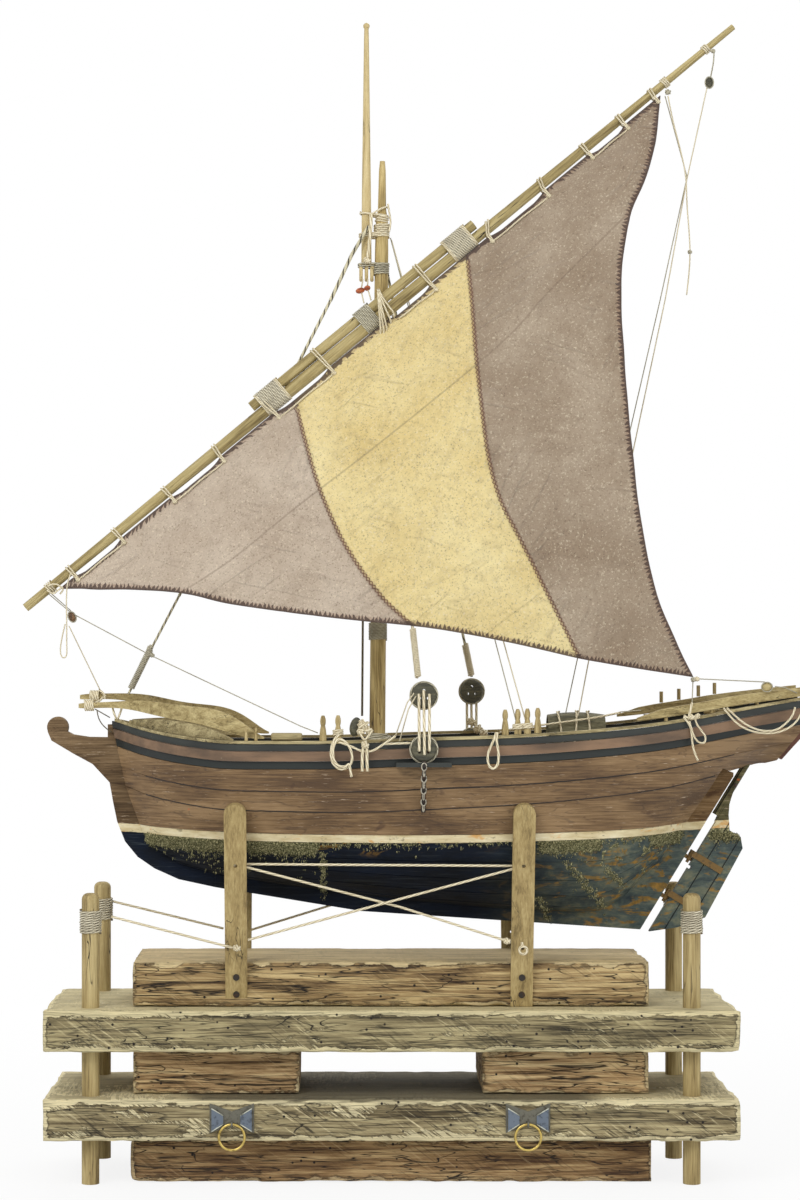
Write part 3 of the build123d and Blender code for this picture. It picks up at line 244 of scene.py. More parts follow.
def wood(name, dark, middle, light, direction="x", grain=1.0, cracks=0.35, rough=0.75, turn=(0, 0, 0)):
    """Sawn timber: broad bands, fine fibres and dark long checks."""
    t = Tree(name)
    bands = t.noise(stretched(90 * grain, 7 * grain, direction), 3, 0.5, 0.6, turn)
    fibres = t.noise(stretched(26 * grain, 1.1 * grain, direction), 5, 0.65, 0.2, turn)
    colour = t.ramp(bands * 0.55 + fibres * 0.5, ((0.37, dark), (0.51, middle), (0.66, light)))
    checks = t.ridge(t.noise(stretched(70 * grain, 5 * grain, direction), 2, 0.4, 0.3, turn, (7, 3, 5)),
                     0.012)
    checks = checks * t.step(t.noise((40, 40, 40), 1), 0.62 - 0.3 * cracks, 0.75 - 0.3 * cracks)
    colour = t.mix(checks, colour, [part * 0.3 for part in dark])
    height = fibres - checks * 0.8
    return t.finish(colour, rough, t.bump(height, 0.5))


def painted(name, paint, under, worn, direction="x"):
    """Brushed paint over wood, thin on the high fibres and chipped in places."""
    t = Tree(name)
    fibres = t.noise(stretched(30, 1.2, direction), 5, 0.65, 0.1)
    patches = t.noise((22, 22, 22), 4, 0.6)
    deep = [part * 0.78 for part in paint]
    pale = [min(255, part * 1.15) for part in paint]
    shade = t.ramp(t.noise(stretched(60, 12, direction), 3, 0.5, 0), ((0.35, deep), (0.65, pale)))
    shade = t.mix(t.step(fibres, 0.5, 0.75) * 0.35, shade, [part * 0.6 for part in paint])
    rubbed = t.step(fibres * 0.5 + patches * 0.6, 0.78 - 0.16 * worn, 0.84 - 0.16 * worn)
    colour = t.mix(rubbed, shade, under)
    height = fibres * 0.6 + rubbed * -0.4
    return t.finish(colour, 0.6, t.bump(height, 0.35))


def cloth():
    """Plain-weave sail cloth in three panels, with sewn seams, a rolled hem and faint creases darkened with
    painted shade.
    """
    t = Tree("sail_weave")
    left = t.attribute("seam_left")
    right = t.attribute("seam_right")
    hem = t.attribute("hem")
    run = t.attribute("run")
    diagonal = t.attribute("diagonal")
    yellow = t.step(left, -0.3, 0.3) * t.step(right, 0.3, -0.3)
    wash = t.noise((60, 60, 60), 4, 0.6)
    fine = t.noise((5, 5, 5), 3, 0.6)
    before = t.ramp(wash, ((0.3, (180, 161, 140)), (0.7, (208, 192, 172))))
    after = t.ramp(wash, ((0.3, (148, 128, 105)), (0.7, (180, 163, 141))))
    taupe = t.mix(t.step(left, 4, -4), after, before)
    straw = t.ramp(wash, ((0.3, (222, 198, 132)), (0.7, (243, 226, 168))))
    colour = t.mix(yellow, taupe, straw)
    colour = t.mix(t.step(fine, 0.45, 0.75) * 0.2, colour, (116, 92, 70))
    flecks = t.step(t.noise((1.3, 1.3, 1.3), 2, 0.7), 0.54, 0.72)
    colour = t.mix(flecks * 0.55, colour, (100, 78, 58))
    pale = t.step(t.noise((1.5, 1.5, 1.5), 2, 0.7, shift=(4, 4, 4)), 0.56, 0.70)
    colour = t.mix(pale * 0.4, colour, (246, 234, 206))
    near = t.math("MINIMUM", abs(left), abs(right))
    beat = abs(t.math("FRACT", run / 3.2) - 0.5)
    stitch = t.step(abs(near - beat * 2.6), 0.55, 0.15)
    colour = t.mix(t.step(near, 2.2, 0.6) * 0.45, colour, (128, 92, 66))
    colour = t.mix(stitch, colour, (104, 66, 48))
    edge = t.step(hem, 3.6, 2.6)
    uneven = run / 2.9 + t.noise((7, 7, 7), 2) * 2.2
    wedge = abs(t.math("FRACT", uneven) - 0.5)
    patchy = 0.55 + t.noise((5, 5, 5), 2, shift=(3, 3, 3))
    reach = (0.7 + wedge * 6.4) * patchy
    teeth = t.step(reach - hem, -0.25, 0.25)
    colour = t.mix(edge * 0.35, colour, (150, 116, 92))
    colour = t.mix(teeth * 0.85, colour, (66, 46, 40))
    sewn = t.step(abs(diagonal), 0.9, 0.3)
    colour = t.mix(sewn * 0.35, colour, (106, 84, 66))
    threads = weave(t, (1, 0, 1), 1.1) + weave(t, (1, 0, -1), 1.1)
    crease = t.add("ShaderNodeTexVoronoi", {"Vector": t.noise_vector((42, 42, 42), 9), "Scale": 1},
                   feature="DISTANCE_TO_EDGE").outputs[0]
    folds = t.step(crease, 0.07, 0.0)
    long_folds = t.noise((20, 20, 120), 2, 0.45, 0.2, (0, 0.25, 0))
    cross_folds = t.noise((70, 70, 18), 2, 0.5, 0.3, (0, 0.5, 0))
    # Painted shade: the crease lines are darkened a little.
    colour = t.mix(folds * 0.03, colour, (92, 72, 52))
    creases = 0.0
    for angle, shift, size in ((0.62, (1, 2, 3), 13), (-0.25, (6, 1, 4), 15), (1.15, (3, 7, 2), 16)):
        line = t.ridge(t.noise((120, 120, size), 2, 0.4, 0.25, (0, angle, 0), shift), 0.05)
        there = t.step(t.noise((48, 48, 48), 2, shift=shift), 0.50, 0.62)
        creases = creases + line * there
    # Painted shade: the long creases are darkened a little.
    colour = t.mix(creases * 0.05, colour, (84, 64, 48))
    normal = t.bump(threads * 0.5, 0.2)
    normal = t.bump(wash - folds * 0.2, 1.6, normal)
    normal = t.bump(long_folds + cross_folds * 0.6, 3.2, normal)
    normal = t.bump(creases, 0.5, normal)
    normal = t.bump(t.step(near, 2.4, 1.6) + stitch * 0.5, 0.35, normal)
    return t.finish(colour, 0.92, normal, **{"Sheen Weight": 0.15})


def weave(t, direction, pitch):
    """A ripple of threads that run square to a direction in the cloth."""
    x, z = t.axis("X"), t.axis("Z")
    along = x * (direction[0] / (MM * pitch)) + z * (direction[2] / (MM * pitch))
    return t.math("SINE", along * (2 * math.pi))


def cord_material(name, light, dark, strands=3, depth=0.25):
    """Laid cord: strands that wind round it, from the tube's own coordinates, with painted shade in the
    grooves between them.
    """
    t = Tree(name)
    uv = t.add("ShaderNodeUVMap", uv_map="lay").outputs[0]
    around, along = t.add("ShaderNodeSeparateXYZ", {0: uv}).outputs[:2]
    turn = Value(t, around) * strands + along
    wave = abs(t.math("SINE", turn * math.pi))
    fuzz = t.noise((1.2, 1.2, 1.2), 3)
    # Painted shade: the grooves between the strands are darkened towards the dark colour.
    colour = t.mix(t.step(wave, 0.75, 0.1), light, dark)
    colour = t.mix(t.step(t.noise((14, 14, 14), 2), 0.45, 0.75) * 0.35, colour, dark)
    normal = t.bump(wave + fuzz * 0.4, depth)
    return t.finish(colour, 0.9, normal, **{"Sheen Weight": 0.1})


def rough_timber(name, dark, middle, light, bare, saw=0.6, rings=0.6, patches=0.0, painted_top_light=0.5, shade=0.0):
    """Rough-sawn board: saw marks aslant, dark grain and splits, bare wood where the edges are worn,
    painted light on faces that look up and, where asked, painted shade on the inner top.
    """
    t = Tree(name)
    bands = t.noise((110, 14, 7), 4, 0.6, 0.9)
    fibres = t.noise((30, 2.2, 1.0), 5, 0.7, 0.3)
    colour = t.ramp(bands * 0.6 + fibres * 0.42, ((0.4, dark), (0.5, middle), (0.61, light)))
    marks = t.noise((26, 26, 1.5), 3, 0.6, 0.2, (0, SAW_SLOPE, 0))
    strength = t.step(t.noise((45, 45, 45), 2), 0.42, 0.62) * saw
    colour = t.mix(t.step(marks, 0.56, 0.68) * strength, colour, [part * 0.55 for part in dark])
    colour = t.mix(t.step(marks, 0.42, 0.32) * (strength * 0.7), colour, bare)
    grain = t.ridge(t.noise((85, 12, 4.2), 2, 0.45, 1.0, shift=(4, 2, 9)), 0.022)
    colour = t.mix(grain * rings, colour, [part * 0.42 for part in dark])
    splits = t.ridge(t.noise((60, 16, 9), 2, 0.4, 0.5, shift=(7, 3, 5)), 0.010)
    splits = splits * t.step(t.noise((35, 35, 35), 1), 0.48, 0.6)
    colour = t.mix(splits, colour, (22, 16, 10))
    worn = t.attribute("wear") + (t.noise((11, 11, 4), 4, 0.65) - 0.5) * 1.2
    if patches:
        field = t.step(t.noise((75, 75, 13), 3, 0.55, 0.3, shift=(5, 2, 8)), 0.50, 0.60)
        hatch = t.step(t.noise((16, 16, 1.1), 2, 0.6, 0.1, (0, SAW_SLOPE, 0), (1, 6, 3)), 0.40, 0.58)
        worn = worn + field * hatch * patches
    chips = t.step(worn, 0.30, 0.42)
    bare_shade = t.mix(t.step(fibres, 0.35, 0.7), [part * 0.78 for part in bare], bare)
    colour = t.mix(chips, colour, bare_shade)
    rim = t.step(worn, 0.16, 0.3) * (1.0 - chips)
    colour = t.mix(rim * 0.55, colour, [part * 0.4 for part in dark])
    pits = t.step(t.cells((9, 9, 9), (2, 5, 1)), 0.13, 0.07)
    colour = t.mix(pits, colour, (26, 18, 12))
    # Painted light: faces that look up are mixed towards the bare wood colour, as if lit from above.
    up = t.add("ShaderNodeSeparateXYZ", {0: t.add("ShaderNodeNewGeometry").outputs["Normal"]}).outputs["Z"]
    up = t.step(up, 0.5, 0.9)
    colour = t.mix(up * painted_top_light, colour, bare)
    if shade:
        inner = t.step(abs(t.axis("X")), 0.15, 0.125)
        colour = t.mix(up * inner * shade, colour, [part * 0.6 for part in dark])
    height = fibres + marks * 0.8 - grain * 0.8
    height = height - (splits * 1.5 + chips * 0.5)
    return t.finish(colour, 0.85, t.bump(height, 0.9))


def stripe_top(t):
    """Height of the top of the cream stripe where the point lies, in metres."""
    x = t.axis("X")
    return STRIPE_TOP + x * x * STRIPE_RISE


def weed_reach(t, x):
    """1 over the lengths of the hull where weed hangs thickly under the stripe."""
    total = 0.0
    for low, high in ((-0.170, -0.113), (-0.098, -0.050), (0.100, 0.142), (0.178, 0.204), (0.222, 0.250)):
        stretch = t.step(x, low - 0.005, low + 0.004) * t.step(x, high + 0.005, high - 0.004)
        total = total + stretch
    return total


def old_bottom(t):
    """Worn dark paint: navy forward, slate and ochre aft, and a beard of weed under the stripe."""
    x, z = t.axis("X"), t.axis("Z")
    fibres = t.noise((26, 26, 1.3), 4, 0.6)
    aft = t.step(x, 0.05, 0.17)
    forward = t.ramp(t.noise((30, 30, 12), 4, 0.6), ((0.35, (1, 6, 16)), (0.65, (5, 18, 36))))
    slate = t.ramp(t.noise((18, 18, 9), 4, 0.65, 0.4),
                   ((0.32, (44, 54, 58)), (0.50, (74, 84, 78)), (0.68, (116, 116, 92))))
    colour = t.mix(aft, forward, slate)
    scraped = 0.1 + t.math("MAXIMUM", aft, t.step(x, -0.13, -0.18)) * 0.28
    colour = t.mix(t.step(fibres, 0.52, 0.72) * scraped, colour, (92, 100, 102))
    below = (stripe_top(t) - z) * 1000
    near = t.step(below, 26, 6)
    ochre = t.step(t.noise((15, 15, 6), 4, 0.6, 0.5, shift=(3, 9, 4)), 0.54, 0.64)
    smear = t.step(x, -0.062, -0.05) * t.step(x, 0.026, 0.012)
    smear = smear * t.step(below, 17, 8)
    where = t.math("MAXIMUM", smear, aft * 0.85)
    rust = t.ramp(t.noise((5, 5, 5), 3), ((0.35, (100, 78, 34)), (0.65, (158, 118, 44))))
    colour = t.mix(ochre * where, colour, rust)
    streaks = t.step(t.noise((14, 14, 30), 3, 0.6, 0.5, (0, 0.75, 0), (5, 1, 2)), 0.56, 0.64)
    beard = near * (0.35 + weed_reach(t, x) * 0.65)
    spread = t.math("MAXIMUM", beard, streaks * (aft * t.step(below, 70, 20)))
    specks = t.noise((1.9, 1.9, 1.9), 3, 0.75)
    weed = t.step(spread + specks * 0.9, 0.98, 1.12)
    weed_shade = t.ramp(t.noise((1.2, 1.2, 1.2), 2, 0.7),
                        ((0.34, (40, 44, 30)), (0.52, (108, 106, 72)), (0.68, (178, 172, 132))))
    colour = t.mix(weed, colour, weed_shade)
    height = fibres * 0.35 + weed * (specks + 0.5)
    return colour, height


def cream_stripe(t):
    """Flaked cream paint with ochre stains and grime."""
    wash = t.noise((26, 26, 5), 4, 0.6)
    colour = t.ramp(wash, ((0.3, (184, 164, 118)), (0.55, (218, 205, 166)), (0.75, (236, 229, 200))))
    stain = t.step(t.noise((17, 17, 6), 3, 0.6, 0.4, shift=(6, 1, 3)), 0.56, 0.68)
    colour = t.mix(stain * 0.75, colour, (206, 150, 72))
    grime = t.step(t.noise((7, 7, 3), 3, 0.65, shift=(1, 8, 3)), 0.60, 0.70)
    return t.mix(grime * 0.6, colour, (96, 84, 60))


def brown_paint(t, dark=(80, 58, 34), middle=(114, 88, 56), light=(142, 115, 80)):
    """Thin brown paint over long-grained planks, with scratches, grey rubs and dark stains."""
    fibres = t.noise((34, 34, 1.1), 5, 0.65, 0.1)
    wash = t.noise((70, 70, 22), 4, 0.55)
    value = wash * 0.55 + fibres * 0.45
    colour = t.ramp(value, ((0.41, dark), (0.50, middle), (0.60, light)))
    scratch = t.step(t.noise((13, 13, 0.9), 3, 0.7, shift=(9, 4, 6)), 0.63, 0.72)
    colour = t.mix(scratch * 0.7, colour, (196, 176, 150))
    stain = t.step(t.noise((16, 16, 10), 3, 0.6, 0.6, shift=(2, 7, 1)), 0.62, 0.74)
    colour = t.mix(stain * 0.6, colour, (66, 42, 26))
    rusty = t.step(t.noise((8, 8, 8), 2, 0.5, shift=(11, 2, 5)), 0.74, 0.80)
    colour = t.mix(rusty * 0.7, colour, (196, 92, 42))
    streak = t.ridge(t.noise((50, 50, 7), 2, 0.5, 0.8, shift=(3, 3, 8)), 0.016)
    colour = t.mix(streak * 0.45, colour, (52, 36, 24))
    return colour, fibres


def hull_paint(name, above=(), seams=None):
    """Brown above the cream stripe and the old bottom paint below it, all from the height on the hull."""
    t = Tree(name)
    brown, fibres = brown_paint(t, *above)
    low, height = old_bottom(t)
    top = stripe_top(t)
    wobble = (t.noise((6, 6, 6), 3) - 0.5) * 0.0012
    z = t.axis("Z") + wobble
    over = t.step(z - top, -0.0002, 0.0002)
    under = t.step(z - top, 0.0002 - STRIPE_HEIGHT, -0.0002 - STRIPE_HEIGHT)
    colour = t.mix(over, cream_stripe(t), brown)
    colour = t.mix(under, colour, low)
    height = height * under + fibres * 0.5
    if seams:
        direction, pitch, shift = seams
        run = t.axis("X") * direction[0] + t.axis("Z") * direction[1]
        saw = t.math("FRACT", run / (pitch * MM) + shift)
        saw = abs(saw - 0.5)
        line = t.step(saw, 0.04, 0.02)
        colour = t.mix(line * 0.8, colour, (16, 18, 18))
        height = height - line
    return t.finish(colour, 0.72, t.bump(height, 0.7), **{"Specular IOR Level": 0.2})


def plain(name, build):
    """A material made by a function that returns a colour, or a colour and a height."""
    t = Tree(name)
    result = build(t)
    colour, height = result if isinstance(result, tuple) else (result, t.noise((4, 4, 4), 3))
    return t.finish(colour, 0.7, t.bump(height, 0.5))


M = {}
M["plank"] = rough_timber("plank_boards", (60, 52, 32), (142, 129, 93), (182, 169, 126), (232, 218, 170),
                          0.8, 0.7, 0.25)
M["low_plank"] = rough_timber("low_plank", (78, 66, 42), (148, 134, 98), (190, 176, 134), (240, 226, 180),
                              0.9, 0.75, 0.7, 0.4, 0.75)
M["block"] = rough_timber("block_timber", (60, 40, 20), (150, 124, 82), (202, 178, 128), (224, 202, 152),
                          0.4, 1.0)
M["base"] = rough_timber("base_timber", (66, 42, 20), (136, 106, 68), (188, 160, 114), (212, 186, 140), 0.4,
                         1.0)
# Painted light: the spacer blocks take a lighter copy of the block timber, to lift them out of the shade
# between the planks.
M["spacer"] = rough_timber("spacer_timber_lightened", (92, 68, 38), (176, 144, 100), (222, 196, 146), (236, 214, 164),
                           0.4, 1.0)
M["dowel"] = wood("dowel_timber", (112, 94, 54), (164, 144, 96), (194, 176, 126), "z")
M["post"] = wood("post_timber", (112, 94, 56), (156, 135, 87), (182, 162, 112), "z", cracks=0.5)
M["spar"] = wood("spar_timber", (112, 96, 56), (158, 141, 92), (190, 174, 124), "x", 0.8,
                 turn=(0, 0.688, 0))
M["mast"] = wood("mast_timber", (104, 84, 44), (172, 150, 96), (214, 194, 138), "z", 0.8)
M["staff"] = wood("staff_timber", (150, 130, 84), (190, 170, 120), (212, 194, 146), "z", 0.7, cracks=0.1)
M["rail"] = wood("rail_timber", (98, 86, 56), (146, 132, 92), (190, 176, 132), "x", 0.6, cracks=0.6)
M["beam"] = wood("beam_timber", (112, 96, 56), (162, 144, 96), (196, 180, 130), "x", 0.6, cracks=0.5)
M["deck"] = wood("deck_timber", (96, 78, 50), (136, 114, 78), (164, 142, 102), "x", 0.7)
M["core"] = wood("seam_wood", (22, 16, 12), (32, 24, 18), (44, 32, 24), "x")
M["pin"] = wood("pin_timber", (104, 88, 52), (160, 140, 92), (196, 178, 130), "z", 0.4, cracks=0.1)
M["dark"] = wood("dark_timber", (36, 36, 24), (64, 62, 44), (100, 96, 72), "x", 0.4, cracks=0.1, rough=0.5)
M["barrel"] = wood("stave_timber", (50, 48, 32), (92, 88, 64), (128, 122, 92), "x", 0.5)
M["upper"] = painted("upper_paint", (38, 42, 38), (132, 122, 94), 0.45)
M["band"] = painted("band_paint", (22, 28, 25), (64, 60, 46), 0.2)
M["rub"] = painted("rub_paint", (112, 88, 66), (158, 138, 112), 0.5)
M["topside"] = plain("topside_paint", brown_paint)
M["bottom"] = hull_paint("bottom_paint")
M["stripe"] = plain("stripe_paint", cream_stripe)
M["stem"] = hull_paint("stem_paint", ((68, 52, 34), (100, 80, 56), (128, 106, 78)))
M["transom"] = painted("transom_paint", (96, 60, 48), (140, 106, 84), 0.4, "z")
M["rudder"] = hull_paint("rudder_paint", ((58, 54, 34), (94, 88, 58), (126, 118, 82)),
                         ((0.854, -0.520), 12, 0.15))
M["cord"] = cord_material("pale_cord", (232, 222, 192), (166, 148, 110))
M["greycord"] = cord_material("grey_cord", (196, 190, 166), (92, 84, 64))
M["seam"] = wood("caulking", (20, 14, 10), (36, 26, 18), (60, 44, 30), "x")
M["paletwine"] = cord_material("pale_twine", (222, 214, 188), (120, 108, 84), 3, 0.5)
M["darkcord"] = cord_material("dark_cord", (118, 108, 84), (40, 34, 26))


def metal_material(name, base, spot, rough, metal):
    """Dull metal with spots of rust or tarnish."""
    t = Tree(name)
    rust = t.step(t.noise((3, 3, 3), 4, 0.6), 0.5, 0.68)
    colour = t.mix(rust * 0.7, base, spot)
    return t.finish(colour, rough, t.bump(t.noise((1.4, 1.4, 1.4), 3), 0.12), metal)


M["steel"] = metal_material("plate_steel", (104, 102, 90), (58, 52, 42), 0.5, 0.4)
M["brass"] = metal_material("ring_brass", (196, 172, 98), (120, 96, 48), 0.35, 0.9)
M["iron"] = metal_material("iron", (58, 54, 50), (96, 60, 38), 0.55, 0.6)
M["strap"] = metal_material("strap_metal", (112, 86, 42), (66, 56, 38), 0.6, 0.3)
M["wing"] = metal_material("plate_wing", (104, 114, 126), (60, 64, 70), 0.4, 0.6)
M["wing_edge"] = metal_material("plate_edge", (196, 198, 184), (120, 118, 100), 0.4, 0.5)
M["link"] = metal_material("chain_metal", (170, 164, 148), (60, 52, 44), 0.4, 0.7)
M["twist"] = cord_material("twisted_stay", (206, 198, 166), (34, 30, 26), 2, 0.4)
M["bead"] = wood("bead_timber", (96, 34, 10), (172, 80, 28), (214, 122, 60), "x", 0.25, cracks=0.0,
                 rough=0.35)
M["bead_dark"] = wood("dark_bead", (40, 26, 16), (84, 58, 34), (140, 104, 66), "z", 0.2, cracks=0.0,
                      rough=0.4)
M["sail"] = cloth()


def weed_material():
    """Dry weed, from dark olive to straw."""
    t = Tree("dry_weed")
    colour = t.ramp(t.noise((1.1, 1.1, 1.1), 2, 0.7),
                    ((0.36, (38, 42, 26)), (0.5, (104, 102, 64)), (0.64, (190, 182, 138))))
    return t.finish(colour, 0.9, t.bump(t.noise((0.5, 0.5, 0.5), 2), 0.2))


M["weed"] = weed_material()

SLOT_LOOKS = {"stand_plank": "plank", "stand_block": "block", "dowel_wood": "dowel", "post_wood": "post",
              "cord": "cord", "grey_cord": "greycord", "plate_steel": "steel", "ring_brass": "brass",
              "screw_steel": "iron", "core_wood": "core", "stem_paint": "stem", "keel_paint": "bottom",
              "plank_paint": "topside", "bottom_paint": "bottom", "stripe_paint": "stripe",
              "band_paint": "band", "rub_paint": "rub", "upper_paint": "upper", "rail_wood": "rail",
              "deck_wood": "deck", "transom_paint": "transom", "beam_wood": "beam", "iron": "iron",
              "strap_metal": "strap", "deadeye_wood": "dark", "pin_wood": "pin", "barrel_wood": "barrel",
              "spar_wood": "spar", "staff_wood": "staff", "sail_cloth": "sail", "rudder_paint": "rudder"}
NODE_LOOKS = {"mast": "mast"}

node_slot = {part["node"]: part["material_slot"] for part in frame["record"]["subparts"]}
for name, obj in frame["nodes"].items():
    look = M[NODE_LOOKS.get(name, SLOT_LOOKS[node_slot[name]])]
    for material_slot in obj.material_slots:
        material_slot.material = look
    if not obj.material_slots:
        obj.data.materials.append(look)


# Camera, light and floor

# The camera looks level along Y; its focal length and shift are in dots of a frame this tall
CAMERA_PLACE = (-0.0417, -1.85, 0.3535)
FRAME_DOTS = 1200
FOCAL_DOTS = 2643
SHIFT_DOTS = (70, 65)
SENSOR = 36
FLOOR_REACH = 30
FLOOR_DROP = 0.0002

camera_data = bpy.data.cameras.new("camera")
camera = bpy.data.objects.new("camera", camera_data)
scene.collection.objects.link(camera)
camera.location = CAMERA_PLACE
camera.rotation_euler = (math.radians(90), 0, 0)
camera_data.sensor_fit = "VERTICAL"
camera_data.sensor_height = SENSOR
camera_data.lens = FOCAL_DOTS * SENSOR / FRAME_DOTS
camera_data.shift_x = SHIFT_DOTS[0] / FRAME_DOTS
camera_data.shift_y = SHIFT_DOTS[1] / FRAME_DOTS
scene.camera = camera


def lamp(name, place, aim, size, power):
    """A square lamp at a place, turned to a point."""
    data = bpy.data.lights.new(name, "AREA")
    data.size = size
    data.energy = power
    obj = bpy.data.objects.new(name, data)
    obj.location = place
    obj.rotation_euler = (Vector(aim) - Vector(place)).to_track_quat("-Z", "Y").to_euler()
    scene.collection.objects.link(obj)


lamp("key_light", (-1.3, -1.9, 1.9), (0, 0, 0.3), 1.2, 34)
lamp("fill_light", (1.7, -1.7, 1.0), (0, 0, 0.3), 1.6, 16)
lamp("back_light", (0.2, 1.6, 1.7), (0, 0, 0.3), 1.4, 16)

world = bpy.data.worlds.new("studio")
scene.world = world
world.use_nodes = True
tree = world.node_tree
tree.nodes.clear()
path = tree.nodes.new("ShaderNodeLightPath")
seen = tree.nodes.new("ShaderNodeMath")
seen.operation = "MAXIMUM"
tree.links.new(path.outputs["Is Camera Ray"], seen.inputs[0])
tree.links.new(path.outputs["Is Glossy Ray"], seen.inputs[1])
strength = tree.nodes.new("ShaderNodeMapRange")
strength.inputs["To Min"].default_value = 0.62
strength.inputs["To Max"].default_value = 1.0
tree.links.new(seen.outputs[0], strength.inputs["Value"])
back = tree.nodes.new("ShaderNodeBackground")
back.inputs["Color"].default_value = (1, 1, 1, 1)
tree.links.new(strength.outputs[0], back.inputs["Strength"])
output = tree.nodes.new("ShaderNodeOutputWorld")
tree.links.new(back.outputs[0], output.inputs[0])
scene.view_settings.view_transform = "Standard"


def floor():
    """A pale floor that glows to white far out, where the camera or a gloss sees it."""
    mesh = bpy.data.meshes.new("floor")
    r = FLOOR_REACH
    mesh.from_pydata([(-r, -r, 0), (r, -r, 0), (r, r, 0), (-r, r, 0)], [], [(0, 1, 2, 3)])
    obj = bpy.data.objects.new("floor", mesh)
    scene.collection.objects.link(obj)
    t = Tree("floor_white")
    diffuse = t.add("ShaderNodeBsdfDiffuse", {"Color": (0.86, 0.86, 0.86, 1)})
    glow = t.add("ShaderNodeEmission", {"Color": (1, 1, 1, 1), "Strength": 1.0})
    ray = t.add("ShaderNodeLightPath")
    seen = t.math("MAXIMUM", ray.outputs["Is Camera Ray"], ray.outputs["Is Glossy Ray"])
    far = t.add("ShaderNodeVectorMath", {0: t.place}, operation="LENGTH").outputs[1]
    share = seen * t.add("ShaderNodeMapRange",
                         {"Value": far, "From Min": 0.25, "From Max": 0.9, "To Min": 0.86,
                          "To Max": 1.0}).outputs[0]
    blend = t.add("ShaderNodeMixShader", {0: share})
    t.material.node_tree.links.new(diffuse.outputs[0], blend.inputs[1])
    t.material.node_tree.links.new(glow.outputs[0], blend.inputs[2])
    end = t.add("ShaderNodeOutputMaterial")
    t.material.node_tree.links.new(blend.outputs[0], end.inputs[0])
    mesh.materials.append(t.material)
    obj.location.z = -FLOOR_DROP


floor()


# Mesh pieces

def skin(name, verts, faces):
    """A mesh from points and faces."""
    mesh = bpy.data.meshes.new(name)
    mesh.from_pydata([tuple(v) for v in verts], [], faces)
    return mesh


def piece(name, mesh, look, body=BOAT, smooth=True, replaces=()):
    """Puts a mesh in the scene with its look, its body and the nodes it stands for."""
    obj = bpy.data.objects.new(name, mesh)
    scene.collection.objects.link(obj)
    mesh.materials.append(M[look])
    if smooth:
        for face in mesh.polygons:
            face.use_smooth = True
    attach(obj, body)
    if replaces:
        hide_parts(*replaces)
    return obj


def route(points):
    """Points along the smooth line that a cord takes through its control points, in metres."""
    curve = bpy.data.curves.new("route", "CURVE")
    curve.dimensions = "3D"
    curve.resolution_u = 12
    spline = curve.splines.new("NURBS")
    spline.points.add(len(points) - 1)
    for point, place in zip(spline.points, points):
        point.co = (place[0] * MM, place[1] * MM, place[2] * MM, 1)
    spline.order_u = 3
    spline.use_endpoint_u = True
    holder = bpy.data.objects.new("route", curve)
    mesh = bpy.data.meshes.new_from_object(holder)
    line = [vertex.co.copy() for vertex in mesh.vertices]
    bpy.data.objects.remove(holder)
    bpy.data.curves.remove(curve)
    bpy.data.meshes.remove(mesh)
    return line


def tube_mesh(meshes, line, radius, around):
    """Adds a tube along a line of points in metres; its coordinates run round it and along the lay."""
    verts, faces, uvs = meshes
    lay = radius * LAY
    base = len(verts)
    frame_up = None
    travelled = 0.0
    count = len(line)
    for k, place in enumerate(line):
        ahead = (line[min(k + 1, count - 1)] - line[max(k - 1, 0)])
        if ahead.length < 1e-9:
            ahead = Vector((0, 0, 1))
        ahead.normalize()
        if frame_up is None:
            frame_up = ahead.orthogonal().normalized()
        else:
            frame_up = (frame_up - ahead * frame_up.dot(ahead)).normalized()
        side = ahead.cross(frame_up)
        if k:
            travelled += (place - line[k - 1]).length
        for j in range(around):
            angle = 2 * math.pi * j / around
            verts.append(place + (frame_up * math.cos(angle) + side * math.sin(angle)) * radius)
        if k:
            for j in range(around):
                after = (j + 1) % around
                a = base + (k - 1) * around
                b = base + k * around
                faces.append((a + j, a + after, b + after, b + j))
                v0 = (travelled - (place - line[k - 1]).length) / lay
                v1 = travelled / lay
                uvs.append(((j / around, v0), ((j + 1) / around, v0), ((j + 1) / around, v1),
                            (j / around, v1)))
    for ring, flip in ((0, True), (count - 1, False)):
        start = base + ring * around
        face = [start + j for j in range(around)]
        faces.append(tuple(reversed(face)) if flip else tuple(face))
        uvs.append(tuple((0.5, 0.5) for _ in face))


def mesh_from(name, meshes):
    """A mesh from tube parts, with their coordinates kept for the cord's look."""
    verts, faces, uvs = meshes
    mesh = skin(name, verts, faces)
    layer = mesh.uv_layers.new(name="lay")
    k = 0
    for corners in uvs:
        for uv in corners:
            layer.data[k].uv = uv
            k += 1
    return mesh


def finer(line, step):
    """The same line with points no further apart than a step."""
    result = [line[0]]
    for a, b in zip(line, line[1:]):
        parts = max(1, int((b - a).length / step))
        for k in range(1, parts + 1):
            result.append(a.lerp(b, k / parts))
    return result


def wound(centre, axis, across, half, bulge, width, cord, turns, per, jitter, seed):
    """Turns of cord round an oval: half a width across and half plus bulge along the across direction."""
    axis = Vector(axis).normalized()
    across = Vector(across)
    across = (across - axis * across.dot(axis)).normalized()
    third = axis.cross(across)
    line = []
    total = int(turns * per)
    for k in range(total + 1):
        angle = 2 * math.pi * k / per
        along = -width / 2 + width * k / total
        wobble = 1 + jitter * noise.noise(Vector((k * 0.13, seed, 0)))
        reach = cord / 2 * wobble
        swing = math.cos(angle)
        push = math.copysign(bulge, swing) * min(1, abs(swing) * 3)
        place = Vector(centre) + axis * along + across * (swing * (half + reach) + push)
        line.append((place + third * math.sin(angle) * (half + reach)) * MM)
    return line


# Stand timbers, rough sawn, with worn and chipped edges

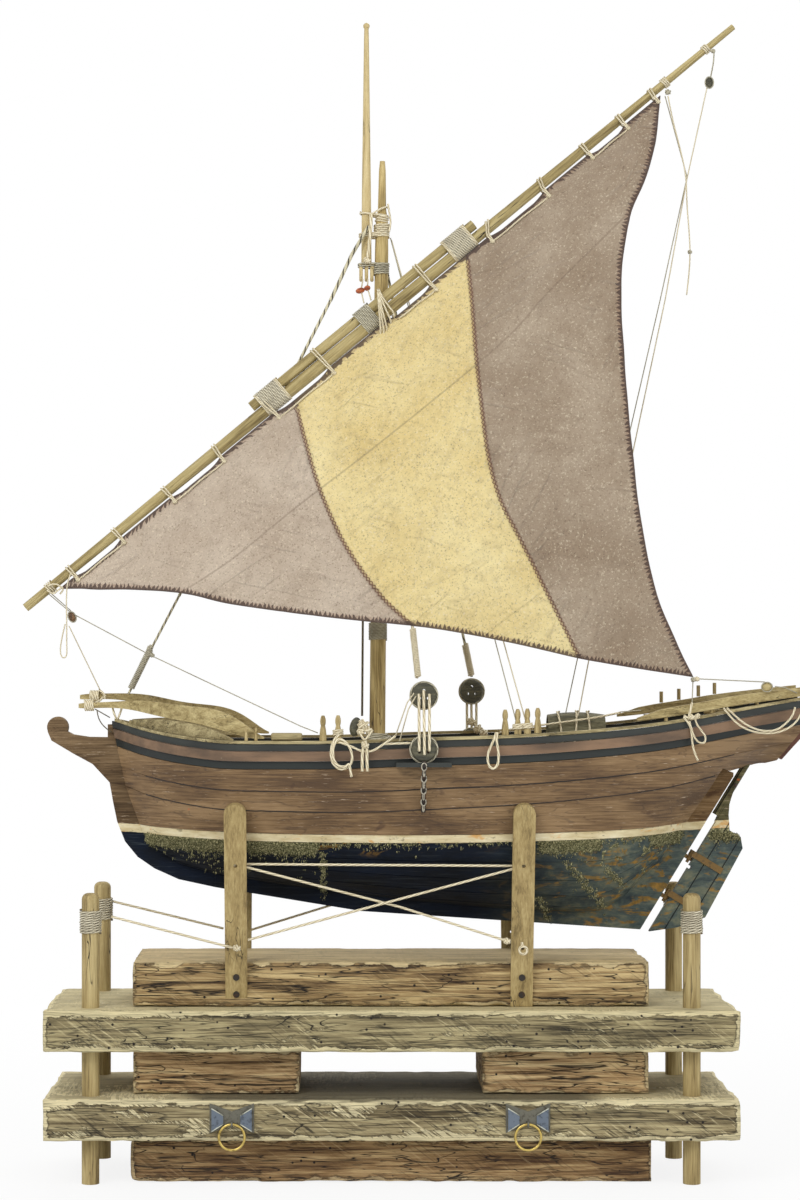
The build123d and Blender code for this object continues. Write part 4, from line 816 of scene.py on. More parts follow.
def timber(name, node, boxes, look, seed, band=False):
    """Boxes cut into a fine skin and worn with noise; the wear on the edges is kept for the paint."""
    bm = bmesh.new()
    wear_values = []
    for low, high in boxes:
        sizes = [high[i] - low[i] for i in range(3)]
        counts = (max(8, int(sizes[0] / 3.0)), max(6, int(sizes[1] / 5)), max(6, int(sizes[2] / 2.2)))
        cache = {}

        def corner(i, j, k):
            key = (i, j, k)
            if key not in cache:
                place = [low[n] + sizes[n] * (i, j, k)[n] / counts[n] for n in range(3)]
                centre = [(low[n] + high[n]) / 2 for n in range(3)]
                gaps = sorted((min(place[n] - low[n], high[n] - place[n]), n) for n in range(3))
                seedling = Vector((place[0] * 0.03, place[1] * 0.06 + seed, place[2] * 0.06))
                rough = noise.fractal(seedling * 1.6, 1.0, 2.0, 4)
                coarse = noise.noise(Vector((place[0] * 0.012 + seed, place[1] * 0.02, place[2] * 0.03)))
                edge = gaps[0][0] + gaps[1][0]
                bite = max(0.0, 1 - edge / WORN_EDGE)
                nick = max(0.0,
                           noise.noise(Vector((place[0] * 0.07, seed * 3,
                                               place[1] * 0.05 + place[2] * 0.05))))
                inward = 0.35 + 0.5 * rough + 0.35 * coarse
                moved = list(place)
                for gap, n in gaps[:3]:
                    sign = 1 if place[n] < centre[n] else -1
                    if gap < 0.01:
                        pull = max(0.05, inward * 0.7) + bite * (0.6 + CHIP * nick)
                        if n == 2:
                            pull = max(0.0, pull - 0.5) if bite < 0.1 else pull
                        moved[n] = place[n] + sign * pull
                vert = bm.verts.new([value * MM for value in moved])
                rim = bite * (0.8 + 0.6 * nick) if band else 0.0
                wear_values.append(min(1.0, max(rim, bite * (0.35 + 1.3 * nick + 0.25 * rough))))
                cache[key] = vert
            return cache[key]

        nx, ny, nz = counts
        for i in range(nx):
            for j in range(ny):
                bm.faces.new((corner(i, j, 0), corner(i, j + 1, 0), corner(i + 1, j + 1, 0),
                              corner(i + 1, j, 0)))
                bm.faces.new((corner(i, j, nz), corner(i + 1, j, nz), corner(i + 1, j + 1, nz),
                              corner(i, j + 1, nz)))
            for k in range(nz):
                bm.faces.new((corner(i, 0, k), corner(i + 1, 0, k), corner(i + 1, 0, k + 1),
                              corner(i, 0, k + 1)))
                bm.faces.new((corner(i, ny, k), corner(i, ny, k + 1), corner(i + 1, ny, k + 1),
                              corner(i + 1, ny, k)))
        for j in range(ny):
            for k in range(nz):
                bm.faces.new((corner(0, j, k), corner(0, j, k + 1), corner(0, j + 1, k + 1),
                              corner(0, j + 1, k)))
                bm.faces.new((corner(nx, j, k), corner(nx, j + 1, k), corner(nx, j + 1, k + 1),
                              corner(nx, j, k + 1)))
    mesh = bpy.data.meshes.new(name)
    bm.to_mesh(mesh)
    bm.free()
    layer = mesh.attributes.new("wear", "FLOAT", "POINT")
    for value, item in zip(wear_values, layer.data):
        item.value = value
    piece(name, mesh, look, BOAT, True, (node,))


def stand():
    """The rough timbers, each over its own box."""
    for node, seed, look in (("base_timber", 3.1, "base"), ("lower_plank", 11.7, "low_plank"),
                             ("upper_plank", 23.3, "plank"), ("top_block", 37.9, "block")):
        low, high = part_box(node)
        timber(f"{node}_rough", node, [(tuple(low / MM), tuple(high / MM))], look, seed,
               band="plank" in node)
    low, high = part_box("spacer_blocks")
    low, high = low / MM, high / MM
    boxes = [((low.x, low.y, low.z), (low.x + SPACER_LENGTH, high.y, high.z)),
             ((high.x - SPACER_LENGTH, low.y, low.z), (high.x, high.y, high.z))]
    timber("spacer_blocks_rough", "spacer_blocks", boxes, "spacer", 51.3)


stand()


# Sail

YARD_HEEL = Vector((-253.4, 0, 393.3))
YARD_PEAK = Vector((238.7, 0, 797.4))
YARD_Y = -11.4
SAIL_DROP = 5.0
SAIL_ROWS = 120
SAIL_COLUMNS = 150
SAIL_THICKNESS = 0.9
SAIL_FROM = 27
SAIL_TO = 567
CLEW = Vector((205.7, 0, 345.3))
# The cloth's section square to the yard: distance below the yard and Y, an arc that stands off to port
SAIL_ARC = ((0, -9.0), (178, -74.5), (340, -45.5))
LEECH = ((182.5, 713.6), (174.6, 687.3), (164.4, 663.7), (159.3, 640.1), (156.2, 614.6), (156, 580.3),
         (158.6, 532.2), (161.6, 498.2), (167, 451.1), (177.7, 404.1), (192.2, 370.5))
FOOT = ((-189.9, 405.9), (-144.3, 402.7), (-109.7, 395), (-62, 388), (-21.5, 383.2), (13.5, 379.8),
        (45.8, 375), (86.3, 367), (127.8, 357.6), (168.5, 350.8))
LEFT_SEAM = ((-63.9, 528.8), (-58.9, 508.5), (-48.5, 473), (-31.5, 434.8), (-8, 400.7), (13.5, 379.8),
             (26, 366))
RIGHT_SEAM = ((54.1, 632.5), (56.1, 602.8), (58.6, 557.5), (64.5, 499), (72.9, 464.8), (86.2, 437.7),
              (103, 404), (116.7, 377.1), (130, 351))
DIAGONAL = ((-142.2, 403.4), (-107.9, 425.9), (-62.2, 462.8), (-8.9, 503.7), (74.3, 571.9), (107.3, 607.8),
            (161.7, 661.6))
# Where the head of the sail hangs clear of the yard, between pairs of ties, as distances up the yard
HEAD_GAPS = ((40.7, 81.9), (127.1, 171.3), (219.8, 269), (322, 360.3), (412, 462.2), (502.5, 534.5))


def along_yard(x, z):
    """Distance up the yard and distance below it, for a point in side view."""
    run = (YARD_PEAK - YARD_HEEL).normalized()
    away = Vector((x, 0, z)) - YARD_HEEL
    down = Vector((run.z, 0, -run.x))
    return away.dot(run), away.dot(down)


def from_yard(along, drop, y=YARD_Y):
    """The point at a distance up the yard and a distance below it."""
    run = (YARD_PEAK - YARD_HEEL).normalized()
    down = Vector((run.z, 0, -run.x))
    place = YARD_HEEL + run * along + down * drop
    return Vector((place.x, y, place.z))


def arc_circle():
    """Centre and radius of the circle through the three points of the sail's section."""
    (x1, y1), (x2, y2), (x3, y3) = SAIL_ARC
    d = 2 * (x1 * (y2 - y3) + x2 * (y3 - y1) + x3 * (y1 - y2))
    a, b, c = x1 * x1 + y1 * y1, x2 * x2 + y2 * y2, x3 * x3 + y3 * y3
    cx = (a * (y2 - y3) + b * (y3 - y1) + c * (y1 - y2)) / d
    cy = (a * (x3 - x2) + b * (x1 - x3) + c * (x2 - x1)) / d
    return cx, cy, math.hypot(x1 - cx, y1 - cy)


ARC = arc_circle()


def cloth_y(drop):
    """How far to port the middle of the cloth lies at a distance below the yard."""
    return ARC[1] - math.sqrt(max(0.0, ARC[2] ** 2 - (drop - ARC[0]) ** 2))


def head_drop(along):
    """How far the head of the sail hangs below the yard's axis."""
    for low, high in HEAD_GAPS:
        if low < along < high:
            return 2.2 * min(1.0, 5 * min(along - low, high - along) / (high - low)) ** 0.7
    return 0.0


def smooth_line(points, count):
    """Points spread evenly in number over a smooth line through the given ones."""
    result = []
    last = len(points) - 1
    for k in range(count + 1):
        place = k / count * last
        i = min(int(place), last - 1)
        t = place - i
        p0, p1 = points[max(i - 1, 0)], points[i]
        p2, p3 = points[i + 1], points[min(i + 2, last)]
        result.append(tuple(0.5 * (2 * b + (c - a) * t + (2 * a - 5 * b + 4 * c - d) * t * t
                                   + (3 * b - a - 3 * c + d) * t ** 3) for a,
                            b, c, d in zip(p0, p1, p2, p3)))
    return result


def value_at(line, key, place):
    """The other coordinate of a line at a place along its key coordinate, which only grows."""
    for a, b in zip(line, line[1:]):
        if a[key] <= place <= b[key] and b[key] > a[key]:
            share = (place - a[key]) / (b[key] - a[key])
            return a[1 - key] + share * (b[1 - key] - a[1 - key])
    return line[0][1 - key] if place < line[0][key] else line[-1][1 - key]


def distance_to(line, x, z):
    """Signed distance to a line of points, and the length along it to the nearest place."""
    best = None
    run = 0.0
    for a, b in zip(line, line[1:]):
        ax, az = a
        dx, dz = b[0] - ax, b[1] - az
        length = math.hypot(dx, dz) or 1e-6
        t = max(0.0, min(1.0, ((x - ax) * dx + (z - az) * dz) / length ** 2))
        away = math.hypot(x - ax - t * dx, z - az - t * dz)
        if best is None or away < best[0]:
            side = (x - ax) * dz - (z - az) * dx
            best = (away, away if side < 0 else -away, run + t * length)
        run += length
    return best[1], best[2]


def fold(x, z, angle, seed):
    """Height of long soft creases that run at an angle in the cloth."""
    along = x * math.cos(angle) + z * math.sin(angle)
    across = z * math.cos(angle) - x * math.sin(angle)
    line = abs(noise.noise(Vector((along * 0.011, across * 0.055, seed))))
    return 1.7 * max(0.0,
                     1
                     - line * 4) * max(0.0,
                                       0.25 + noise.noise(Vector((x * 0.02, z * 0.02, seed + 3))) * 1.6)


def sail_piece():
    """The cloth as a grid between foot and leech, with what its paint needs kept at each point."""
    tack = from_yard(SAIL_FROM, SAIL_DROP)
    peak = from_yard(SAIL_TO, SAIL_DROP)
    foot = smooth_line([(tack.x, tack.z)] + list(FOOT) + [(CLEW.x, CLEW.z)], 80)
    leech = smooth_line([(peak.x, peak.z)] + list(LEECH) + [(CLEW.x, CLEW.z)], 80)
    foot_uv = [along_yard(*p) for p in foot]
    leech_uv = [along_yard(*p) for p in leech]
    depth = along_yard(CLEW.x, CLEW.z)[1]
    verts, data = [], {"seam_left": [], "seam_right": [], "hem": [], "run": [], "diagonal": []}
    left, right, diagonal = smooth_line(LEFT_SEAM,
                                        40), smooth_line(RIGHT_SEAM, 40), smooth_line(DIAGONAL, 20)
    for j in range(SAIL_ROWS + 1):
        drop = SAIL_DROP + (depth - SAIL_DROP) * (j / SAIL_ROWS) ** 1.15
        start = value_at(foot_uv, 1, drop)
        end = value_at(leech_uv, 1, drop)
        for i in range(SAIL_COLUMNS + 1):
            along = start + (end - start) * i / SAIL_COLUMNS
            place = from_yard(along, drop + head_drop(along) * max(0.0, 1 - (drop - SAIL_DROP) / 30))
            x, z = place.x, place.z
            hem_foot, run_foot = distance_to(foot, x, z)
            hem_leech, run_leech = distance_to(leech, x, z)
            hem = min(abs(hem_foot), abs(hem_leech), max(0.0, drop - SAIL_DROP))
            seam_l, run_l = distance_to(left, x, z)
            seam_r, run_r = distance_to(right, x, z)
            slow = noise.noise(Vector((x * 0.012, z * 0.012, 4.2)))
            puckers = noise.noise(Vector((x * 0.045, z * 0.03, 8.8))) * 0.5
            puckers += fold(x, z, 0.60, 1.6) + fold(x, z, -0.20, 5.1) + fold(x, z, 1.2, 9.7)
            flutter = math.sin((run_leech if abs(hem_leech) < abs(hem_foot) else run_foot) * 0.16)
            free = min(abs(hem_foot), abs(hem_leech))
            hold = min(1.0, (drop - SAIL_DROP) / 12)
            y = cloth_y(drop) + hold * (0.9 * flutter * max(0.0, 1 - free / 16) - 1.6 * slow - puckers)
            verts.append((x * MM, y * MM, z * MM))
            data["seam_left"].append(seam_l)
            data["seam_right"].append(seam_r)
            data["hem"].append(hem)
            data["diagonal"].append(distance_to(diagonal, x, z)[0])
            runs = ((abs(hem_foot), run_foot), (abs(hem_leech), run_leech), (abs(seam_l), run_l),
                    (abs(seam_r), run_r))
            data["run"].append(min(runs)[1])
    faces = []
    wide = SAIL_COLUMNS + 1
    for j in range(SAIL_ROWS):
        for i in range(SAIL_COLUMNS):
            a = j * wide + i
            faces.append((a, a + 1, a + wide + 1, a + wide))
    mesh = skin("sail_cloth", verts, faces)
    for key, values in data.items():
        layer = mesh.attributes.new(key, "FLOAT", "POINT")
        for value, item in zip(values, layer.data):
            item.value = value
    obj = piece("sail_cloth", mesh, "sail", BOAT, True, ("sail",))
    thick = obj.modifiers.new("thickness", "SOLIDIFY")
    thick.thickness = SAIL_THICKNESS * MM
    thick.offset = 0


sail_piece()

# Cord work and fittings

YARD_RUN = (YARD_PEAK - YARD_HEEL).normalized()
YARD_UP = Vector((-YARD_RUN.z, 0, YARD_RUN.x))
YARD_LENGTH = (YARD_PEAK - YARD_HEEL).length
YARD_RADII = ((0, 3.0), (0.40, 4.6), (0.75, 3.6), (1, 2.1))
FISH_LIFT = 8.3
FISH_RADIUS = 3.6
FISH_FROM = 210
FISH_TO = 410


def yard_radius(along):
    """Radius of the yard at a distance from its heel."""
    share = along / YARD_LENGTH
    for (a, ra), (b, rb) in zip(YARD_RADII, YARD_RADII[1:]):
        if share <= b:
            return ra + (rb - ra) * (share - a) / (b - a)
    return YARD_RADII[-1][1]


def on_cloth(along, drop, proud=0.7):
    """A point just off the port face of the sail."""
    place = from_yard(along, drop)
    return Vector((place.x, cloth_y(drop) - SAIL_THICKNESS / 2 - proud, place.z))


def cordwork(name, lines, diameter, look="cord", around=7, replaces=()):
    """One piece of cord made of lines of points in metres."""
    meshes = ([], [], [])
    for line in lines:
        tube_mesh(meshes, line, diameter * MM / 2, around)
    piece(name, mesh_from(name, meshes), look, BOAT, True, replaces)


def free_cord(name, points, diameter):
    """A slack end or loop that hangs free, along a smooth line through its control points."""
    line = route(points)
    meshes = ([], [], [])
    tube_mesh(meshes, line, diameter * MM / 2, 8)
    obj = piece(name, mesh_from(name, meshes), "cord", BOAT, True, ())


def straight(*points):
    """A line of points in metres, straight from one to the next."""
    return [Vector(p) * MM for p in points]


def knot(place, cord, axis=(1, 0, 0.4), size=1.0, seed=0.0):
    """A small hitch: two crossed turns of cord drawn tight."""
    place = Vector(place)
    axis = Vector(axis)
    other = axis.cross(Vector((0, 1, 0)))
    first = wound(place, axis, (0, 1, 0), 0.35 * cord * size, 0, cord * 1.7, cord, 2, 10, 0.2, seed)
    second = wound(place, other, (0, 1, 0), 0.45 * cord * size, 0, cord * 1.2, cord, 1.5, 10, 0.2, seed + 3)
    return [first, second]


def hitches(*rows):
    """Several hitches, each row with what knot takes."""
    lines = []
    for row in rows:
        lines += knot(*row)
    return lines


def hoops(centre, half, width, cord, turns, per, jitter, seed):
    """Turns of cord round an upright rod."""
    return wound(centre, (0, 0, 1), (1, 0, 0), half, 0, width, cord, turns, per, jitter, seed)


def yard_turns(along, width, cord, turns, fish=False, seed=0.0, grow=0.0):
    """Turns of cord round the yard, and round the short spar above it where that is there."""
    radius = yard_radius(along) + grow
    lift = FISH_LIFT if fish else 0
    centre = from_yard(along, -lift / 2)
    half = (radius + FISH_RADIUS) / 2 if fish else radius
    return wound(centre, YARD_RUN, YARD_UP, half, lift / 2, width, cord, turns, 24, 0.1, seed)


def ball(name, place, radius, look, stretch=(1, 1, 1), turn=0.0, body=BOAT):
    """A ball, stretched along each axis and turned in side view."""
    bm = bmesh.new()
    bmesh.ops.create_uvsphere(bm, u_segments=16, v_segments=10, radius=radius * MM)
    for vert in bm.verts:
        x, y, z = (vert.co[i] * stretch[i] for i in range(3))
        vert.co = (x * math.cos(turn) - z * math.sin(turn) + place[0] * MM, y + place[1] * MM,
                   x * math.sin(turn) + z * math.cos(turn) + place[2] * MM)
    mesh = bpy.data.meshes.new(name)
    bm.to_mesh(mesh)
    bm.free()
    piece(name, mesh, look, body, True, ())


def turned(name, start, end, profile, look, replaces=()):
    """A rod whose radius follows (share of its length, radius) rows."""
    around = 28
    start, end = Vector(start), Vector(end)
    axis = (end - start).normalized()
    up = axis.orthogonal().normalized()
    side = axis.cross(up)
    verts, faces = [], []
    for share, radius in profile:
        centre = start.lerp(end, share)
        for j in range(around):
            angle = 2 * math.pi * j / around
            verts.append(tuple((centre + (up * math.cos(angle) + side * math.sin(angle)) * radius) * MM))
    rings = len(profile)
    for k in range(rings - 1):
        for j in range(around):
            a, b = k * around + j, k * around + (j + 1) % around
            faces.append((a, b, b + around, a + around))
    faces.append(tuple(reversed(range(around))))
    faces.append(tuple((rings - 1) * around + j for j in range(around)))
    piece(name, skin(name, verts, faces), look, BOAT, True, replaces)


# Ties of the sail: distance up the yard at the spar and at the knot, how far the knot hangs
TIES = (
    (40.5, 40.7, 8.5), (81.5, 81.9, 8.8), (126.5, 127.1, 9.2), (172.3, 171.3, 9.4), (217.9, 219.8, 10.2),
    (267.7, 269.0, 10.5), (359.9, 360.3, 10.7), (418.6, 412.0, 9.6), (464.9, 462.2, 10.2),
    (502.5, 502.5, 9.0), (534.8, 534.5, 8.8), (563.5, 562.5, 7.6),
)


def ties():
    """Ties of the sail with their knots, and the head rope between some of them."""
    turns, knots = [], []
    for k, (above, below, hang) in enumerate(TIES):
        fish = FISH_FROM + 12 < above < FISH_TO - 12
        grow = 1.0 if abs(above - 226) < 11 else 0.0
        radius = yard_radius(above) + grow
        top = FISH_LIFT + FISH_RADIUS if fish else radius
        spot = on_cloth(below, hang)
        for shift in (-1.1, 1.1):
            high = from_yard(above + shift, -top - 0.6)
            low = from_yard(below + shift * 0.7, radius + 0.3)
            front = -radius - 0.75
            loop = [(high.x, YARD_Y - 0.6, high.z), (high.x, YARD_Y + front, high.z)]
            middle = from_yard((above + below) / 2 + shift * 0.9, -(top - radius) / 2)
            loop += [(middle.x, YARD_Y + front, middle.z), (low.x, YARD_Y + front * 0.9, low.z),
                     tuple(spot + Vector((shift * 0.5, 0, 0.6)))]
            turns.append(route(loop))
            back = [(high.x, YARD_Y - 0.6, high.z), (high.x, YARD_Y - front, high.z),
                    (middle.x, YARD_Y - front, middle.z), (low.x, YARD_Y - front * 0.8, low.z),
                    (spot.x + shift * 0.5, YARD_Y + 1.5, spot.z + 1.0), (spot.x, spot.y + 1.6, spot.z)]
            turns.append(route(back))
        knots += knot(spot + Vector((0, -0.3, 0)), 1.25, seed=k * 1.7)
    cordwork("ties", turns, 1.25)
    cordwork("tie_knots", knots, 1.25)
    lines = []
    for k in (0, 2, 4, 7, 9):
        a, b = TIES[k][1:], TIES[k + 1][1:]
        lines.append(head_line(a, b))
    lines.append(head_line((328, 9.5), TIES[6][1:]))
    cordwork("head_lines", lines, 1.15)


def head_line(a, b):
    """A stretch of head rope on the cloth between two ties."""
    line = []
    for k in range(9):
        share = k / 8
        sag = 0.3 * math.sin(share * 9)
        line.append(on_cloth(a[0] + (b[0] - a[0]) * share, a[1] + (b[1] - a[1]) * share + sag, 0.4) * MM)
    return line


ties()


def spar_whippings():
    """Whippings that hold the short spar on the yard."""
    lines, edges = [], []
    for k, along in enumerate((226, 394)):
        lines.append(yard_turns(along, 17, 1.45, 12, True, k * 5.0))
        for shift in (-8.8, 8.8):
            edges.append(yard_turns(along + shift, 2.4, 1.25, 2, True, k + shift, 0.2))
    cordwork("spar_whippings", lines, 1.4, "paletwine", 7, ("yard_bindings",))
    cordwork("spar_whipping_edges", edges, 1.25, "cord", 6)


spar_whippings()


# Bindings of the yard to the mast
def mast_binding():
    """Turns that bind the yard to the mast, and a fan of cord in front of them."""
    band = [yard_turns(311.5, 12.5, 1.35, 9, True, 2.0)]
    fan = []
    head = (-8.8, -19.5, 612.2)
    for low, back in (((-6.4, -19.5, 583.1), -6.0), ((-4, -19.8, 582.4), -4.0), ((-1.9, -20, 584.8), -2.5),
                      ((0.9, -20, 590.7), -0.5), ((3.3, -19.5, 595.9), 1.5)):
        spread = (low[0] - head[0]) * 0.12
        fan.append(route([(head[0] + spread, 6.5, head[2] + 3), (head[0] + spread, -6, head[2] + 4),
                          (head[0] + spread, -17.5, head[2]),
                          ((head[0] + low[0]) / 2, -19.6, (head[2] + low[2]) / 2),
                          (low[0], -18.5, low[2] + 1), (low[0] - 0.6, -12, low[2] - 1.6),
                          (back, 0, low[2] + 3), (back, 6.5, low[2] + 8),
                          (head[0] + spread, 6.5, head[2] + 3)]))
    around = [wound((-6.3, 0, 600), (0.1, 0, 1), (1, 0, 0), 4.9, 0, 7, 1.3, 5, 20, 0.1, 4.0)]
    cordwork("mast_binding", band + around, 1.35, "greycord", 7, ("parrel",))
    cordwork("mast_binding_fan", fan, 1.3, "cord")


mast_binding()


# Mast and staff, with the lashings between them
turned("mast_turned", (-9, 0, 262), (-5, 0, 706),
       ((0, 5.6), (0.1, 5.6), (0.5, 5.3), (0.86, 4.7), (0.905, 4.2), (0.925, 2.9), (0.985, 2.4), (1, 1.8)),
       "mast", ("mast",))
turned("staff_turned", (STAFF_X, 0, 632.5), (STAFF_X, 0, 800),
       ((0, 3.4), (0.02, 3.6), (0.3, 3.2), (0.7, 2.3), (0.96, 1.7), (1, 1.5)), "staff",
       ("staff",))
ball("staff_ball", (STAFF_X, 0, 800.6), 2.3, "staff")


def staff_lashings():
    """Lashings of the mast head and the staff, with a cord that hangs from them."""
    lines = [hoops((MAST_X, 0, 657), 4.3, 9, 1.5, 6, 20, 0.15, 1.0),
             wound((MAST_X + 0.3, 0, 665), (0.25, 0, 1), (1, 0, 0), 3.5, 0, 5, 1.3, 3, 20, 0.2, 2.0),
             wound(((MAST_X + STAFF_X) / 2, 0, 668.5), (0.12, 0, 1), (1, 0, 0), 3.7, 5.3, 1.6, 1.2, 1.5, 24,
                   0.1, 6.0),
             wound(((MAST_X + STAFF_X) / 2, 0, 654), (0.0, 0, 1), (1, 0, 0), 4.2, 5.3, 3.0, 1.3, 2, 24, 0.1,
                   8.0)]
    lines.append(route([(-13.4, -4.5, 667.7), (-8.2, -5, 671.1), (-2, -3, 674.3), (-0.4, 2, 673)]))
    lines.append(route([(-1.2, -3, 675.7), (0.2, -4, 667.1), (0.9, -3, 661.7), (-0.5, -5, 655.8)]))
    lower = [hoops((MAST_X - 0.6, 0, 630), 4.8, 7.5, 1.4, 5, 20, 0.15, 3.0),
             wound(((MAST_X - 16.8) / 2, 0, 633.5), (0.02, 0, 1), (1, 0, 0), 4.6, 5.4, 1.6, 1.2, 1, 24, 0.1,
                   9.0)]
    cordwork("staff_lashing", lines, 1.4, "cord", 7, ("staff_lashings",))
    cordwork("staff_lashing_low", lower, 1.3, "greycord", 7)
    drop = route([(-13.1, -5.5, 668.3), (-12.8, -6, 662.6), (-13.8, -6.2, 652.8), (-14.8, -6, 643.1),
                  (-15.5, -5.5, 636.2)])
    cordwork("staff_cord", [drop], 2.3, "cord", 9)
    cordwork("staff_cord_knot", knot((-15.7, -6, 635.7), 1.8, (1, 0, 0.1), 1.2, 5.0), 1.8, "cord", 8)


staff_lashings()


def shaped_block(name, place, size, look):
    """A rigging block: rounded cheeks with two sheave slots between them."""
    slots = 2
    x, y, z = place
    wide, deep, tall = size
    bm = bmesh.new()
    cheeks = slots + 1
    thick = wide / (cheeks + slots * 0.55)
    gap = thick * 0.55
    for k in range(cheeks):
        left = x - wide / 2 + k * (thick + gap)
        rings = []
        count = 20
        for side, shrink in ((0, 0.9), (0.25, 1.0), (0.75, 1.0), (1, 0.9)):
            ring = []
            for j in range(count):
                angle = 2 * math.pi * j / count
                cy = math.copysign(abs(math.cos(angle)) ** 0.7, math.cos(angle)) * deep / 2 * shrink
                cz = math.copysign(abs(math.sin(angle)) ** 0.8, math.sin(angle)) * tall / 2 * shrink
                ring.append(bm.verts.new(((left + thick * side) * MM, (y + cy) * MM, (z + cz) * MM)))
            rings.append(ring)
        for a, b in zip(rings, rings[1:]):
            for j in range(count):
                bm.faces.new((a[j], b[j], b[(j + 1) % count], a[(j + 1) % count]))
        bm.faces.new(list(rings[0]))
        bm.faces.new(list(reversed(rings[-1])))
    mesh = bpy.data.meshes.new(name)
    bm.to_mesh(mesh)
    bm.free()
    piece(name, mesh, look, BOAT, True, ())


shaped_block("staff_block", (STAFF_X, -1, 628.1), (10.0, 7.5, 13.0), "staff")
cordwork("staff_block_strap",
         [wound((STAFF_X, -1, 632.3), (0, 0, 1), (1, 0, 0), 4.0, 1.1, 2.0, 1.1, 1.5, 24, 0.1, 2.0)], 1.1,
         "greycord")
cordwork("bead_strings",
         [straight((-18.7, -4.5, 623), (-19.7, -5, 616.7)),
          straight((-15.2, -4.5, 623), (-15.5, -5, 618.1)),
          straight((-20.1, -5, 615.3), (-18.1, -12, 605.3)),
          straight((-15.5, -5, 616.7), (-13.2, -12, 607.3))],
         1.0)
ball("bead_left", (-20.6, -5.5, 614.8), 2.2, "bead", (1.5, 1, 0.95), 0.25)
ball("bead_right", (-15.7, -5.5, 616.5), 1.9, "bead", (1.2, 1, 1), 0.3)


# Stays and shrouds
def stays():
    """The forestay: twisted above, then thinner, served and seized at the foot."""
    head = (-14.5, -6.5, 659.7)
    upper = straight(head, (-26.6, -5.5, 639.6), (-41.4, -4.5, 608))
    lower_from = (-41.4, -4.5, 608)
    mid = (-167.3, -0.5, 364)
    foot = (-182.8, 0, 333.2)
    cordwork("forestay_upper", [finer(upper, 0.001)], 2.5, "twist", 10, ("forestay",))
    cordwork("forestay_lower", [finer(straight(lower_from, (-147.3, -1, 401.8)), 0.002)], 2.1, "twist", 8,
             ())
    cordwork("forestay_foot", [finer(straight((-147.3, -1, 401.8), mid, foot), 0.002)], 1.7, "twist", 8, ())
    a, b = Vector((-167.7, -0.5, 364.3)), Vector((-181, 0, 337.1))
    centre = (a + b) / 2
    served = wound(centre, b - a, (0, 1, 0), 1.35, 0, (b - a).length, 1.15, 25, 14, 0.25, 3.0)
    cordwork("forestay_serving", [served], 1.15, "greycord", 6, ())
    ends = hitches(((-167.6, -1, 365.4), 1.5, (b - a).normalized(), 1.6, 2.0),
                   ((-166.2, -1, 360.5), 1.3, (1, 0, 0), 1.2, 4.0))
    cordwork("forestay_seizing", ends, 1.4, "greycord", 7, ())


stays()


def shrouds():
    """One shroud on each side, with turns of cord above its deadeye."""
    port_eye = Vector((17.1, -85, 345.5))
    port_head = Vector((-7, -9.5, 584))
    star_eye = Vector((62, 84.3, 345))
    star_head = Vector((-6.5, 3.5, 652))
    cordwork("port_shroud", [finer(straight(port_head, port_eye), 0.002)], 2.0, "cord", 8, ("shrouds",))
    cordwork("starboard_shroud", [finer(straight(star_head, star_eye), 0.002)], 2.0, "twist", 8, ())
    run = (port_head - port_eye).normalized()
    centre = port_eye + run * 17
    cordwork("port_shroud_serving", [wound(centre, run, (0, 1, 0), 1.2, 0, 34, 1.1, 29, 12, 0.2, 7.0)], 1.1,
             "cord", 6)
    run = (star_head - star_eye).normalized()
    centre = star_eye + run * 13
    cordwork("starboard_shroud_serving", [wound(centre, run, (0, 1, 0), 1.4, 0, 24, 1.2, 18, 12, 0.3, 5.0)],
             1.2, "cord", 6)


shrouds()


# The deadeyes of each side: X, Y, and the heights of the lower and the upper one
DEADEYES = ((21, -85.1, 297.1, 333.1), (62, 84.3, 298.2, 334.2))
DEADEYE_STRAP = 9.0


def deadeye_straps():
    """A strap round each deadeye, and the three strands of each lanyard."""
    straps, strands = [], []
    for x, y, low, high in DEADEYES:
        for z in (low, high):
            loop = []
            for k in range(33):
                angle = 2 * math.pi * k / 32
                loop.append(Vector((x + DEADEYE_STRAP * math.cos(angle), y,
                                    z + DEADEYE_STRAP * math.sin(angle))) * MM)
            straps.append(loop)
        front = y + math.copysign(3.2, y)
        behind = front + math.copysign(2.6, -y)
        for k, (top, bottom) in enumerate(((-3.4, -3.2), (-0.2, 0.3), (3.6, 3.6))):
            lift = 3.0 if k == 1 else 0.5
            strands.append(route([(x + top, behind, high + lift), (x + top, front, high + lift + 0.4),
                                  (x + top, front, high + lift - 2.4),
                                  (x + bottom, front, low - lift + 2.4),
                                  (x + bottom, front, low - lift - 0.4), (x + bottom, behind, low - lift)]))
    cordwork("deadeye_straps", straps, 1.5, "greycord", 8)
    cordwork("deadeye_lanyards", strands, 1.9, "cord", 8, ("lanyards",))


deadeye_straps()


